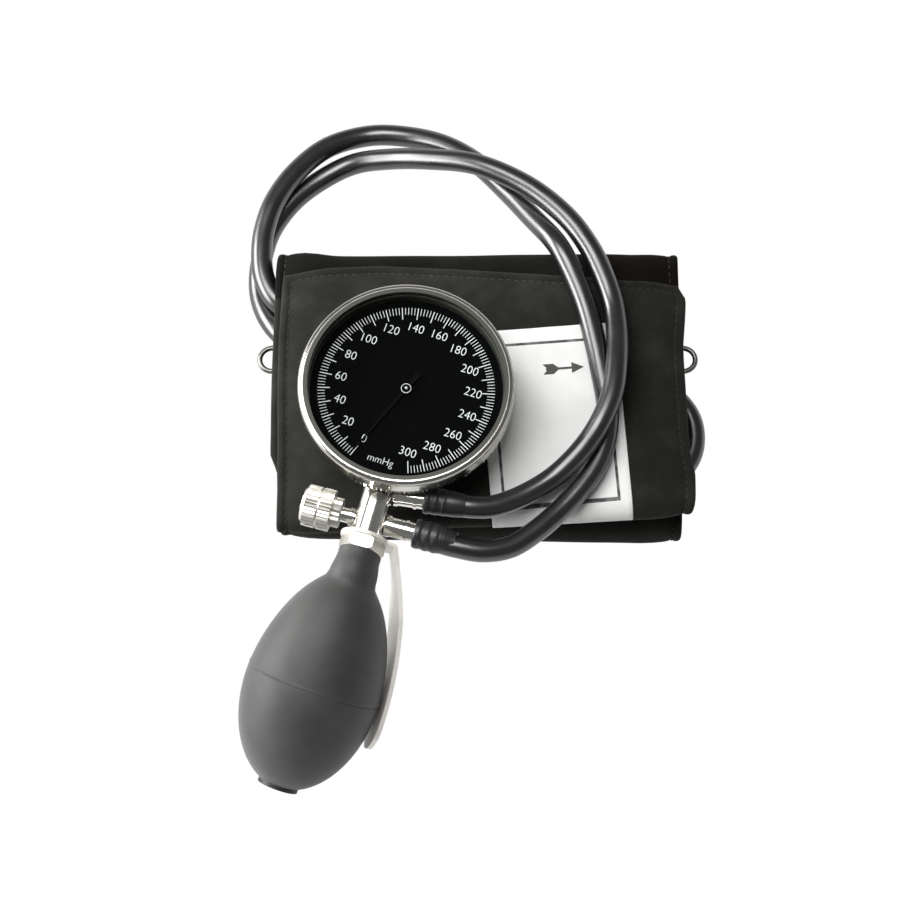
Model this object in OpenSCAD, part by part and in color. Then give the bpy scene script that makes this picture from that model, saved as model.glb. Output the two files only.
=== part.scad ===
// Aneroid sphygmomanometer: a hand gauge with its bulb lies on a folded arm cuff, joined to it by hoses.
// Millimetres, +Z up. The origin is the middle of the flat underside of the folded cuff.

/* [Cuff] */
// Width of the cuff cloth, along X
cuff_w = 141; // [139:0.5:143]
// Depth of the folded bundle, front to back along Y
cuff_d = 106.5; // [105.5:0.5:107]
// Thickness of one padded layer of the cuff
layer_t = 5; // [4.9:0.05:5.1]
// Height of the fold gap that the hoses run through
channel_h = 8; // [8:0.1:8.4]
// Width of the inflatable bladder, along X
bladder_w = 120; // [110:1:122]
// Wire diameter of the D-ring
ring_wire = 1.8; // [1.6:0.1:2]
// Length of the D-ring, along X
ring_l = 152; // [150:1:154]
// Width of the D-ring over its two bars
ring_w = 10.4; // [10:0.1:10.8]
// Size of the sewn label, across and along
label_size = [47.4, 65]; // [40:0.1:66]
// Turn of the label on the cuff, in degrees
label_turn = 4.5; // [3:0.5:6]

/* [Gauge] */
// Centre of the gauge case over the cuff, X
gauge_x = -26.6; // [-27.6:0.1:-25.6]
// Centre of the gauge case over the cuff, Y
gauge_y = -11.5; // [-12.5:0.1:-10.5]
// Turn of the gauge and stem about the vertical, in degrees
gauge_turn = -15.5; // [-17:0.5:-14]
// Outer radius of the case cup
cup_r = 30.5; // [30.2:0.1:30.8]
// Outer radius of the bezel ring
bezel_r = 36; // [35.9:0.1:36.3]
// Radius of the dial plate
dial_r = 32.2; // [32:0.1:32.4]
// Grip teeth round the bezel
bezel_teeth = 144; // [120:6:180]
// Turn of the dial's scale against the stem, in degrees
dial_turn = -3; // [-6:0.5:0]
// Length of the pointer from the centre to its tip
pointer_l = 27; // [24:0.5:28]

/* [Stem] */
// Height of the stem's axis above the case's underside
stem_z = 9.3; // [9.2:0.05:9.5]
// Radius of the stem
stem_r = 5.4; // [5.2:0.1:5.6]
// Width of the hexagon collar across its corners
collar_d = 15.4; // [15:0.1:15.6]
// Diameter of the release valve's knob
knob_d = 14; // [13:0.5:15]
// Thread pitch of the release valve
valve_pitch = 0.7; // [0.5:0.1:0.8]
// Turn of the gauge hose's nipple towards the case, in degrees
nipple_turn = 6.5; // [5:0.5:7]

/* [Bulb] */
// Largest radius of the bulb
bulb_r = 22.8; // [22.4:0.1:22.8]
// Length of the bulb's long curve, from its widest ring to the neck
bulb_neck_l = 41; // [40.8:0.1:41.4]
// Length of the bulb's short curve, from its widest ring to the end
bulb_end_l = 34.5; // [34:0.1:34.6]
// Thickness of the bulb's rubber
bulb_wall = 2.6; // [2.2:0.1:2.8]
// Bend of the rubber neck, in degrees
bulb_droop = 24.5; // [24:0.5:24.5]
// Roll of that bend about the stem, in degrees
bulb_roll = 13.8; // [13:0.1:15]
// Thickness of the spoon grip's metal
spoon_t = 1.4; // [1.2:0.1:1.5]

/* [Hoses] */
// Outer diameter of both hoses
hose_d = 7.5; // [7:0.1:7.5]

/* [Hidden] */
$fn = 64;
// Overlap that joins two shapes of one piece
weld = 0.2;
// Radial gap of a shaft that turns or slides
run_gap = 0.05;

// Heights of the four layers' middles, from the table up
low_z = layer_t / 2;
mid_z = low_z + layer_t + channel_h;
slack_gap = 2.4;
high_z = mid_z + layer_t + slack_gap;
patch_gap = 2.2;
top_z = high_z + layer_t + patch_gap;
cuff_top = top_z + layer_t / 2;
// Radii of the folds, at the layer's middle
front_low_r = (mid_z - low_z) / 2;
front_high_r = (top_z - high_z) / 2;
back_r = (high_z - low_z) / 2;
// The lower front fold stands a little behind the upper one
low_setback = 2;
front_low_y = -cuff_d / 2 + low_setback + front_low_r + layer_t / 2;
front_high_y = -cuff_d / 2 + front_high_r + layer_t / 2;
back_y = cuff_d / 2 - back_r - layer_t / 2;
ring_end_y = 7;
flap_end_y = 41;
bladder_t = 2.8;
pocket_t = 3;
pocket_margin = 2;
bladder_end_y = 20;
fold_steps = 16;
// The D-ring lies flat behind the inner end of the cuff
ring_x = -2.6;
ring_y = 14;
ring_bar_y = ring_y - ring_w / 2 + ring_wire / 2;
ring_loop_w = 136;
loop_gap = 0.1;
loop_t = 0.6;
hook_w = 100;
hook_back_y = 38;
hook_l = 40;
loop_l = 70;
hook_t = patch_gap / 2;
label_t = 0.35;
label_front = [1.9, -47.1];

// Hose ends inside the fold gap
hose_r = hose_d / 2;
hose_z = layer_t + channel_h / 2;
port_l = 12;
port_x = 32;
port_gauge_y = -31;
port_air_x = 16;
port_air_y = 31;
port_neck_r = 3;
port_flange_r = 5.9;
port_flange_t = 0.8;
port_bore_r = 1.5;
// Points that each hose runs through, from its sleeve on the stem to its port on the bladder
gauge_route = [
    [-12.5, -48.2, 41.9], [-5, -49.4, 41.7], [3, -48.6, 40.5], [13, -44, 38.9], [23, -37.5, 39],
    [32, -29, 41.5], [38, -20.5, 44.1], [42.3, -10, 44.5], [44, 1, 43.1], [44.6, 13, 39.9],
    [43.6, 25, 37], [40.3, 36.5, 36.6], [35.2, 48, 36.5], [27, 60, 35.6], [14, 72.2, 33],
    [-3, 82.2, 28.6], [-19.5, 88, 20.5], [-33, 91.8, 12.5], [-46, 93, 6], [-57.6, 88, 3.75],
    [-68, 79.2, 3.75], [-75.6, 67.5, 3.75], [-78.8, 54.5, 3.75], [-78.8, 43.5, 4], [-75.8, 33.6, 6.7],
    [-70.7, 26, 9], [-63.6, 21, 9], [-54.8, 18, 9], [-38, 13.2, 9], [-10, 8.8, 9],
    [18, 7.1, 9], [41, 7, 9], [53, 7, 9], [64.2, 3.4, 9], [71.1, -6.1, 9],
    [71.1, -17.9, 9], [64.2, -27.4, 9], [53, -31, 9], [41.5, -31, 9], [32, -31, 9]
];
air_route = [
    [-17.5, -61.2, 41.9], [-9.8, -63.4, 41.7], [-1, -64.6, 40.8], [8, -62.6, 39.3], [16, -57, 37.9],
    [24, -49.5, 36.7], [31.5, -41, 36.5], [37.3, -32, 36.4], [40.5, -22, 36.4], [41, -11, 36.4],
    [39.2, 1, 36.4], [37, 13, 36.4], [34.2, 25, 36.4], [30.2, 36.5, 36.4], [24.7, 48.3, 36.1],
    [16.6, 61.2, 29.4], [7.6, 75.2, 22], [-2.4, 88, 16.6], [-14, 97.3, 12], [-27, 103.1, 7],
    [-41, 104.6, 4.8], [-55.4, 99, 7.2], [-66.2, 88.4, 9.9], [-73.6, 76.4, 11.6], [-77.2, 65, 12],
    [-78, 55, 12.6], [-77, 46, 13], [-73.2, 38, 13], [-67, 33, 12], [-59, 31, 10.3],
    [-48, 31, 9.1], [-30, 31, 9], [-8, 31, 9], [16, 31, 9]
];
hose_sides = 10;

// Heights in the gauge, above its underside
back_t = 1.5;
cup_wall = 1.5;
cup_in_r = cup_r - cup_wall;
ledge_z = 15;
flange_r = 34;
dial_z = 18.4;
dial_t = 0.6;
rim_in_r = 32.5;
rim_z = 20.6;
crystal_z = 22.4;
crystal_t = 1.6;
bezel_z = 15.4;
knurl_z = 18.8;
lip_r = 32.8;
bezel_top = crystal_z + crystal_t + 1.2;
knurl_depth = 0.5;
base_plate_z = 12.8;
base_plate_t = 1;
top_plate_z = 16.6;
top_plate_t = 0.8;
gear_z = 15;
gear_t = 0.8;
pointer_z = 20;
pointer_t = 0.35;

// Pinion and sector, ten to one
gear_module = 0.3;
pinion_teeth = 10;
sector_teeth = 100;
pinion_r = gear_module * pinion_teeth / 2;
sector_r = gear_module * sector_teeth / 2;
tooth_out = 0.24;
tooth_in = 0.4;
centre_gap = pinion_r + sector_r;
sector_y = -4.9;
sector_x = sqrt(centre_gap * centre_gap - sector_y * sector_y);
mesh_angle = atan2(-sector_y, -sector_x);
sector_span = 32;
// The scale starts twenty degrees clockwise of the stem and runs over 320 degrees
scale_start = 270 - 20 + dial_turn;

// Rocker that carries the capsule's rise to the sector
rocker_y = -4;
rocker_z = 11;
rocker_r = 0.6;
lever_t = 0.8;
lever_tilt = 10;
capsule_pos = [5, 2];
capsule_r = 15;
capsule_z = 3.6;
capsule_h = 4.6;
stud_top = 9.36;
tail_r = 2.3;
tail_angle = 180 - sector_span / 2;

// Distances along the stem, from the case's centre
boss_face = 31.2;
spigot_in = 26;
nut_at = 26.4;
nut_t = 2.2;
nut_d = 9.8;
gauge_tap = 34.3;
air_tap = 44.6;
stem_end = 50.5;
spigot_seat = 3.2;
collar_at = 51.5;
collar_h = 4.5;
neck_start = 56;
bend_vertex = 63;
neck_bend_r = 8.4;
neck_end = bend_vertex - neck_bend_r * tan(bulb_droop / 2);
neck_r = 8.1;
neck_bore_r = 5;
spigot_r = 3.95;
air_bore_r = 1.5;
nipple_start = 5.6;
nipple_end = 21;
nipple_r = 3.3;

// Distances along the bulb, from the end of its neck's bend
bulb_mid = 39.8;
bulb_end_r = 7;
bulb_hole_r = 4.9;
bulb_steps = 18;
bulb_flat = bulb_mid + bulb_end_l * sqrt(1 - pow(bulb_end_r / bulb_r, 2));
boss_in = bulb_flat - 5.4;

// Spoon grip, an arc that runs beside the bulb; its own axis runs from the ring to the bulb's middle
spoon_down = 18.6;
spoon_side = 0.3;
spoon_roll = 18;
spoon_arc_r = 130;
spoon_off = 20.2;
spoon_peak = 50.7;
spoon_end = 67;
spoon_w = 17;
spoon_root_w = 9;

// Places

module at_gauge() {
    translate([gauge_x, gauge_y, cuff_top])
        rotate(gauge_turn)
            children();
}

// Z runs out along the stem, X to its right, Y up
module along_stem(at = 0) {
    at_gauge()
        translate([0, 0, stem_z])
            rotate([90, 0, 0])
                translate([0, 0, at])
                    children();
}

module to_right(at, turn = 0) {
    at_gauge()
        to_right_of_case(at, turn)
            children();
}

// The same place in the gauge's own axes
module to_right_of_case(at, turn = 0) {
    translate([0, 0, stem_z])
        rotate([90, 0, 0])
            translate([0, 0, at])
                rotate([0, 90 + turn, 0])
                    children();
}

module to_left(at) {
    along_stem(at)
        rotate([0, -90, 0])
            children();
}

// Z runs out along the drooping bulb
module at_bulb() {
    along_stem(neck_end)
        rotate(-bulb_roll)
            translate([0, -neck_bend_r, 0])
                rotate([bulb_droop, 0, 0])
                    translate([0, neck_bend_r, 0])
                        rotate(bulb_roll)
                            children();
}

// Shapes that repeat

module tube(r_out, r_in, z0, z1) {
    translate([0, 0, z0])
        difference() {
            cylinder(r = r_out, h = z1 - z0);
            translate([0, 0, -1])
                cylinder(r = r_in, h = z1 - z0 + 2);
        }
}

module rod(r, z0, z1) {
    translate([0, 0, z0])
        cylinder(r = r, h = z1 - z0);
}

// Carries a Y-Z outline along X
module along_x(width) {
    rotate([90, 0, 90])
        translate([0, 0, -width / 2])
            linear_extrude(width)
                children();
}

// Cuff

// Points round half a circle, the turned edge of a fold seen along X
function fold_arc(y, z, r, from, to) =
    [for (i = [0:fold_steps])
        let (a = from + (to - from) * i / fold_steps)
        [y + r * cos(a), z + r * sin(a)]];
function reversed(path) = [for (i = [len(path) - 1:-1:0]) path[i]];

// One face of the cloth from its D-ring end, down the front fold and up the back one
function lower_face(off, start_y) = concat(
    [[start_y, mid_z + off]],
    fold_arc(front_low_y, (low_z + mid_z) / 2, front_low_r + off, 90, 270),
    fold_arc(back_y, (low_z + high_z) / 2, back_r + off, -90, 90)
);
function cuff_face(off) = concat(
    lower_face(off, ring_end_y),
    fold_arc(front_high_y, (high_z + top_z) / 2, front_high_r - off, 270, 90),
    [[flap_end_y, top_z - off]]
);
// The bladder's stretch ends on the third layer
function bladder_face(off, trim) = concat(
    lower_face(off, ring_end_y - pocket_margin - trim),
    [[bladder_end_y + trim, high_z + off]]
);

module cuff_outline() {
    polygon(concat(cuff_face(layer_t / 2), reversed(cuff_face(-layer_t / 2))));
}

module bladder_outline(t, trim) {
    polygon(concat(bladder_face(t / 2, trim), reversed(bladder_face(-t / 2, trim))));
}

module port_places() {
    translate([port_x - port_l / 2, port_gauge_y, 0])
        children();
    translate([port_air_x + port_l / 2, port_air_y, 0])
        children();
}

module cuff_wrap() {
    color("#2f332f")
        difference() {
            along_x(cuff_w)
                cuff_outline();
            along_x(bladder_w + 2 * pocket_margin)
                bladder_outline(pocket_t, 0);
            port_places()
                rod(port_neck_r + run_gap, low_z, layer_t + 1);
            label_place(2 * label_t);
        }
}

module bladder() {
    color("#1d1d1e")
        along_x(bladder_w)
            bladder_outline(bladder_t, pocket_margin);
}

module hook_patch() {
    color("#202220")
        translate([-hook_w / 2, hook_back_y - hook_l, top_z - layer_t / 2 - hook_t])
            cube([hook_w, hook_l, hook_t]);
}

module loop_patch() {
    color("#2a241f")
        translate([-hook_w / 2, hook_back_y - loop_l, high_z + layer_t / 2])
            cube([hook_w, loop_l, hook_t]);
}

// The label is sewn down flush with the padding
module label_place(t) {
    translate([label_front[0], label_front[1], cuff_top - label_t])
        rotate(label_turn)
            cube([label_size[0], label_size[1], t]);
}

module label_patch() {
    color("#f2f2f0")
        label_place(label_t);
}

// A wire ring with round ends, flat in the X-Y plane
module d_ring() {
    bar_y = ring_w / 2 - ring_wire / 2;
    bar_l = ring_l - ring_w;
    color("#d8d8d8")
        translate([ring_x, ring_y, mid_z])
            for (side = [-1, 1]) {
                translate([-bar_l / 2, side * bar_y, 0])
                    rotate([0, 90, 0])
                        cylinder(d = ring_wire, h = bar_l, $fn = 32);
                translate([side * bar_l / 2, 0, 0])
                    rotate(side > 0 ? -90 : 90)
                        rotate_extrude(angle = 180)
                            translate([bar_y, 0])
                                circle(d = ring_wire, $fn = 32);
            }
}

// Cloth loop sewn to the cuff's inner end, round the D-ring's front bar
module d_ring_loop() {
    in_r = ring_wire / 2 + loop_gap;
    color("#2f332f")
        translate([ring_x, 0, 0])
            along_x(ring_loop_w)
                difference() {
                    union() {
                        translate([ring_bar_y, mid_z])
                            circle(r = in_r + loop_t);
                        translate([ring_end_y, mid_z - loop_t])
                            square([ring_bar_y - ring_end_y, 2 * loop_t]);
                    }
                    translate([ring_bar_y, mid_z])
                        circle(r = in_r);
                }
}

// Bladder port: flange on the cloth, neck down into the bladder, barrel that the hose is pushed on
module hose_port(toward) {
    color("#222224")
        difference() {
            union() {
                rod(port_neck_r, low_z + bladder_t / 2, hose_z);
                rod(port_flange_r, layer_t, layer_t + port_flange_t);
                translate([-toward * port_l / 2, 0, hose_z])
                    rotate([0, toward * 90, 0])
                        cylinder(r = hose_r - 0.05, h = port_l);
            }
            translate([0, 0, hose_z])
                rotate([0, toward * 90, 0])
                    cylinder(r = port_bore_r, h = port_l);
            rod(port_bore_r, low_z, hose_z);
        }
}

module port_gauge() {
    translate([port_x - port_l / 2, port_gauge_y, 0])
        hose_port(1);
}

module port_air() {
    translate([port_air_x + port_l / 2, port_air_y, 0])
        hose_port(-1);
}

// Hoses

function unit(v) = v / norm(v);
function heading(path, i) =
    unit(path[min(i + 1, len(path) - 1)] - path[max(i - 1, 0)]);
function ring_at(path, i, r) =
    let (
        t = heading(path, i),
        side = unit(cross(t, [0, 0, 1])),
        up = cross(side, t)
    )
    [for (k = [0:hose_sides - 1])
        path[i] + r * (cos(360 * k / hose_sides) * side + sin(360 * k / hose_sides) * up)];

// A round tube swept through the route's points, one ring at each
module swept_hose(path, r) {
    rings = len(path);
    points = [for (i = [0:rings - 1]) each ring_at(path, i, r)];
    walls = [for (i = [0:rings - 2], k = [0:hose_sides - 1])
        let (
            a = i * hose_sides + k,
            b = i * hose_sides + (k + 1) % hose_sides
        )
        each [[a, b, b + hose_sides], [a, b + hose_sides, a + hose_sides]]];
    near_end = [for (k = [1:hose_sides - 2]) [0, k + 1, k]];
    last = (rings - 1) * hose_sides;
    far_end = [for (k = [1:hose_sides - 2]) [last, last + k, last + k + 1]];
    polyhedron(points = points, faces = [for (f = concat(walls, near_end, far_end)) [f[0], f[2], f[1]]]);
}

module hose_gauge() {
    color("#1c1c1e")
        swept_hose(gauge_route, hose_r);
}

module hose_air() {
    color("#1c1c1e")
        swept_hose(air_route, hose_r);
}

// Moulded hose end with ribs, over a nipple
module hose_sleeve(z0, z1, r, ribs) {
    rib_pitch = 1.6;
    bore_end = nipple_end + 0.3;
    color("#232326")
        difference() {
            union() {
                rod(r - 0.4, z0, z1);
                for (i = [0:ribs - 1])
                    rod(r, z1 - 1.2 - i * rib_pitch - 0.9, z1 - 1.2 - i * rib_pitch);
                rod(r, z0, z0 + 1.2);
            }
            rod(nipple_r + 0.02, z0 - 1, bore_end);
            rod(port_bore_r, z0, z1 + 1);
        }
}

sleeve_start = 15.4;
sleeve_gauge_end = 27.5;
sleeve_air_end = 26;
sleeve_gauge_r = 4.7;
sleeve_air_r = 5.2;

module sleeve_gauge() {
    to_right(gauge_tap, nipple_turn)
        hose_sleeve(sleeve_start, sleeve_gauge_end, sleeve_gauge_r, 2);
}

module sleeve_air() {
    to_right(air_tap)
        hose_sleeve(sleeve_start, sleeve_air_end, sleeve_air_r, 3);
}

// Gauge case

screw_boss_r = 2.3;
screw_ring_r = 26.8;
screw_head_r = 1.9;
screw_head_z = 0.9;
screw_angles = [90, 210, 330];

module gauge_case() {
    color("#b9bab8")
        at_gauge()
            difference() {
                union() {
                    rotate_extrude($fn = 96)
                        polygon([
                            [cup_in_r, back_t], [cup_r, back_t], [cup_r, ledge_z], [flange_r, ledge_z],
                            [flange_r, rim_z], [rim_in_r, rim_z], [rim_in_r, dial_z],
                            [rim_in_r - cup_wall, dial_z], [rim_in_r - cup_wall, ledge_z + cup_wall],
                            [cup_in_r, ledge_z + cup_wall]
                        ]);
                    for (a = screw_angles)
                        rotate(a)
                            translate([screw_ring_r, 0, 0])
                                rod(screw_boss_r, back_t, back_t + 4.5);
                    intersection() {
                        translate([0, 0, stem_z])
                            rotate([90, 0, 0])
                                rod(stem_r, cup_in_r - 0.4, boss_face);
                        rod(boss_face + 1, back_t, ledge_z + 1);
                    }
                }
                translate([0, 0, stem_z])
                    rotate([90, 0, 0])
                        rod(spigot_r + run_gap, cup_in_r - 4, boss_face + 1);
                to_right_of_case(gauge_tap, nipple_turn)
                    rod(nipple_r + 0.4, nipple_start - 0.1, nipple_start + 4);
                for (a = screw_angles)
                    rotate(a)
                        translate([screw_ring_r, 0, 0])
                            rod(0.95, back_t - 1, back_t + 4);
            }
}

module case_back() {
    color("#a9aaa8")
        at_gauge()
            difference() {
                rod(cup_r, 0, back_t);
                for (a = screw_angles)
                    rotate(a)
                        translate([screw_ring_r, 0, 0]) {
                            rod(1, -1, back_t + 1);
                            rod(screw_head_r + 0.1, -1, screw_head_z);
                        }
            }
}

module back_screws() {
    color("#8f9090")
        at_gauge()
            for (a = screw_angles)
                rotate(a)
                    translate([screw_ring_r, 0, 0])
                        difference() {
                            union() {
                                rod(screw_head_r, 0.1, screw_head_z);
                                rod(0.97, 0.1, back_t + 3.8);
                            }
                            translate([-1.6, -0.2, 0])
                                cube([3.2, 0.4, 0.5]);
                        }
}

// Ring with a band of fine teeth below a smooth rounded rim
module bezel_ring() {
    color("#d5d6d3")
        at_gauge() {
            translate([0, 0, bezel_z])
                linear_extrude(knurl_z - bezel_z)
                    difference() {
                        polygon([for (i = [0:2 * bezel_teeth - 1])
                            let (
                                r = bezel_r - 0.3 - (i % 2) * knurl_depth,
                                a = 180 * i / bezel_teeth
                            )
                            [r * cos(a), r * sin(a)]]);
                        circle(r = flange_r + 0.05, $fn = 96);
                    }
            rotate_extrude($fn = 96)
                difference() {
                    union() {
                        translate([flange_r + 0.05, knurl_z])
                            square([bezel_r - flange_r - 0.05, bezel_top - knurl_z - 1.6]);
                        translate([bezel_r - 1.6, bezel_top - 1.6])
                            circle(r = 1.6);
                        translate([lip_r, crystal_z + crystal_t])
                            square([bezel_r - 1.6 - lip_r, bezel_top - crystal_z - crystal_t]);
                        translate([flange_r + 0.05, bezel_top - 2])
                            square([bezel_r - 1.6 - flange_r, 1]);
                    }
                    translate([0, rim_z - 2])
                        square([flange_r + 0.05, crystal_z + crystal_t - rim_z + 2]);
                }
        }
}

module crystal() {
    color([0.9, 0.95, 1, 0.35])
        at_gauge()
            rod(flange_r - 0.1, crystal_z, crystal_z + crystal_t, $fn = 96);
}

module crystal_gasket() {
    color("#3a3a2c")
        at_gauge()
            tube(flange_r, rim_in_r, rim_z, crystal_z, $fn = 96);
}

module dial() {
    color("#121214")
        at_gauge() {
            tube(dial_r, 1.6, dial_z, dial_z + dial_t, $fn = 96);
            for (p = [[-10, 14], [-10, -14], [14, 14]])
                translate([p[0], p[1], 0])
                    rod(1.2, top_plate_z + top_plate_t, dial_z + 0.1);
        }
}

// Movement

module pointer() {
    hub_r = 1.85;
    tail_l = 7;
    root_w = 0.55;
    tip_w = 0.2;
    color("#151517")
        at_gauge()
            rotate(scale_start) {
                translate([0, 0, pointer_z])
                    linear_extrude(pointer_t)
                        difference() {
                            union() {
                                polygon([[-tail_l, -1.1], [-tail_l, 1.1], [0, root_w], [pointer_l, tip_w],
                                    [pointer_l, -tip_w], [0, -root_w]]);
                                circle(r = hub_r);
                            }
                            circle(r = 0.45);
                        }
                tube(1, 0.45, pointer_z - 0.5, pointer_z + 0.8);
            }
}

// Flat outline of a toothed wheel: teeth are short trapezoids on the pitch circle
module tooth(r, half_pitch, angle) {
    rotate(angle)
        polygon([
            [(r - tooth_in - 0.1) * cos(half_pitch * 0.5), -(r - tooth_in - 0.1) * sin(half_pitch * 0.5)],
            [(r + tooth_out) * cos(half_pitch * 0.2), -(r + tooth_out) * sin(half_pitch * 0.2)],
            [(r + tooth_out) * cos(half_pitch * 0.2), (r + tooth_out) * sin(half_pitch * 0.2)],
            [(r - tooth_in - 0.1) * cos(half_pitch * 0.5), (r - tooth_in - 0.1) * sin(half_pitch * 0.5)]
        ]);
}

module pinion_shaft() {
    half_pitch = 180 / pinion_teeth;
    color("#b89a4a")
        at_gauge() {
            rod(0.4, base_plate_z + 0.1, base_plate_z + base_plate_t + 0.1);
            rod(0.7, base_plate_z + base_plate_t + 0.05, gear_z);
            translate([0, 0, gear_z - 0.1])
                linear_extrude(1) {
                    circle(r = pinion_r - tooth_in);
                    for (i = [0:pinion_teeth - 1])
                        tooth(pinion_r, half_pitch, mesh_angle + 180 + half_pitch * (2 * i + 1));
                }
            rod(0.6, gear_z + 0.8, top_plate_z - 0.05);
            rod(0.45, top_plate_z - 0.1, pointer_z + 0.9);
        }
}

function spiral(turn, r, pitch) = (r + pitch * turn) * [-cos(360 * turn), sin(360 * turn)];

// Flat spiral spring round the pinion's shaft
module hairspring() {
    turns = 4;
    steps = 20;
    r_in = 1.1;
    pitch = 0.85;
    band = 0.12;
    count = turns * steps;
    color("#4d5a78")
        at_gauge()
            translate([0, 0, base_plate_z + base_plate_t + 0.35]) {
                linear_extrude(0.6)
                    polygon(concat(
                        [for (i = [0:count]) spiral(i / steps, r_in + band, pitch)],
                        [for (i = [count:-1:0]) spiral(i / steps, r_in - band, pitch)]
                    ));
                tube(1.15, 0.75, 0, 0.6);
            }
}

module hairspring_stud() {
    stud_x = -5.05;
    color("#c2a65c")
        at_gauge()
            translate([stud_x, 0, 0])
                rod(0.5, base_plate_z + base_plate_t, gear_z);
}

module sector_gear() {
    half_pitch = 180 / sector_teeth;
    rim_in = 12.6;
    first = mesh_angle - 11 * 2 * half_pitch;
    last = mesh_angle + 2 * 2 * half_pitch;
    color("#c9ab5a")
        at_gauge()
            translate([sector_x, sector_y, 0]) {
                translate([0, 0, gear_z])
                    linear_extrude(gear_t)
                        difference() {
                            union() {
                                circle(r = 3.1);
                                intersection() {
                                    difference() {
                                        circle(r = sector_r - tooth_in, $fn = 128);
                                        circle(r = rim_in, $fn = 128);
                                    }
                                    polygon([[0, 0], 20 * [cos(first - 2), sin(first - 2)],
                                        20 * [cos(first + 22), sin(first + 22)],
                                        20 * [cos(last + 2), sin(last + 2)]]);
                                }
                                for (a = [first, last])
                                    rotate(a)
                                        translate([0, -0.9])
                                            square([rim_in + 0.5, 1.8]);
                                for (k = [-2:11])
                                    tooth(sector_r, half_pitch, mesh_angle - 2 * half_pitch * k);
                            }
                            circle(r = 0.8);
                        }
                rotate(tail_angle)
                    translate([tail_r, 0, 0])
                        rod(0.4, gear_z - 1, gear_z + 0.1);
            }
}

module sector_arbor() {
    color("#a0a2a4")
        at_gauge()
            translate([sector_x, sector_y, 0]) {
                rod(0.5, base_plate_z + 0.1, top_plate_z + top_plate_t - 0.1);
                rod(0.8, base_plate_z + base_plate_t + 0.05, top_plate_z - 0.05);
            }
}

// Cross shaft with two levers: one over the capsule's stud, one behind the sector's tail pin
module rocker_shaft() {
    tail_x = sector_x + tail_r * cos(tail_angle);
    color("#a0a2a4")
        at_gauge()
            translate([0, rocker_y, rocker_z]) {
                translate([4.1, 0, 0])
                    rotate([0, 90, 0])
                        cylinder(r = rocker_r, h = tail_x + lever_t / 2 - 4.1);
                translate([capsule_pos[0] - 0.6, 0, 0])
                    rotate([-lever_tilt, 0, 0])
                        translate([0, -0.4, -lever_t / 2])
                            cube([1.2, 7, lever_t]);
                translate([tail_x - lever_t / 2, 0, 0])
                    rotate([-lever_tilt, 0, 0])
                        translate([0, -lever_t / 2, -0.4])
                            cube([lever_t, lever_t, 4.15]);
            }
}

module movement_base() {
    color("#c2a65c")
        at_gauge()
            difference() {
                union() {
                    rod(24.5, base_plate_z, base_plate_z + base_plate_t);
                    for (x = [6.6, 10.6])
                        translate([x, rocker_y - 1.3, rocker_z - 1.3])
                            cube([1.2, 2.6, base_plate_z - rocker_z + 1.4]);
                }
                rod(0.45, base_plate_z - 1, base_plate_z + 2);
                translate([sector_x, sector_y, 0])
                    rod(0.55, base_plate_z - 1, base_plate_z + 2);
                translate([5, rocker_y, rocker_z])
                    rotate([0, 90, 0])
                        cylinder(r = rocker_r + run_gap, h = 10);
                translate([12.7, rocker_y - 1.4, base_plate_z - 1])
                    cube([1.7, 2.7, 3]);
                for (a = [100, 180, 260])
                    rotate(a)
                        translate([16, 0, 0])
                            rod(4, base_plate_z - 1, base_plate_z + 2);
            }
}

top_pillar_places = [[-12, 10], [-12, -10], [18, 12]];
base_pillar_r = 22;
base_pillar_angles = [60, 180, 300];

module movement_top() {
    color("#c2a65c")
        at_gauge()
            difference() {
                translate([3, 1, 0])
                    rod(22.5, top_plate_z, top_plate_z + top_plate_t);
                rod(0.5, top_plate_z - 1, top_plate_z + 2);
                translate([sector_x, sector_y, 0])
                    rod(0.55, top_plate_z - 1, top_plate_z + 2);
                for (p = top_pillar_places)
                    translate([p[0], p[1], 0])
                        rod(1, top_plate_z - 1, top_plate_z + 2);
                translate([4, -14, top_plate_z - 1])
                    rod(4, 0, 3);
            }
}

module base_pillars() {
    color("#c2a65c")
        at_gauge()
            for (a = base_pillar_angles)
                rotate(a)
                    translate([base_pillar_r, 0, 0])
                        rod(1.8, back_t, base_plate_z);
}

module top_pillars() {
    color("#c2a65c")
        at_gauge()
            for (p = top_pillar_places)
                translate([p[0], p[1], 0])
                    difference() {
                        rod(1.9, base_plate_z + base_plate_t, top_plate_z);
                        rod(0.95, base_plate_z + 2, top_plate_z + 1);
                    }
}

module plate_screws() {
    color("#8f9090")
        at_gauge()
            for (p = top_pillar_places)
                translate([p[0], p[1], 0])
                    difference() {
                        union() {
                            rod(0.97, base_plate_z + 2.2, top_plate_z + top_plate_t + 0.2);
                            rod(1.8, top_plate_z + top_plate_t, top_plate_z + top_plate_t + 0.7);
                        }
                        translate([-2, -0.2, top_plate_z + top_plate_t + 0.3])
                            cube([4, 0.4, 1]);
                    }
}

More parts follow.
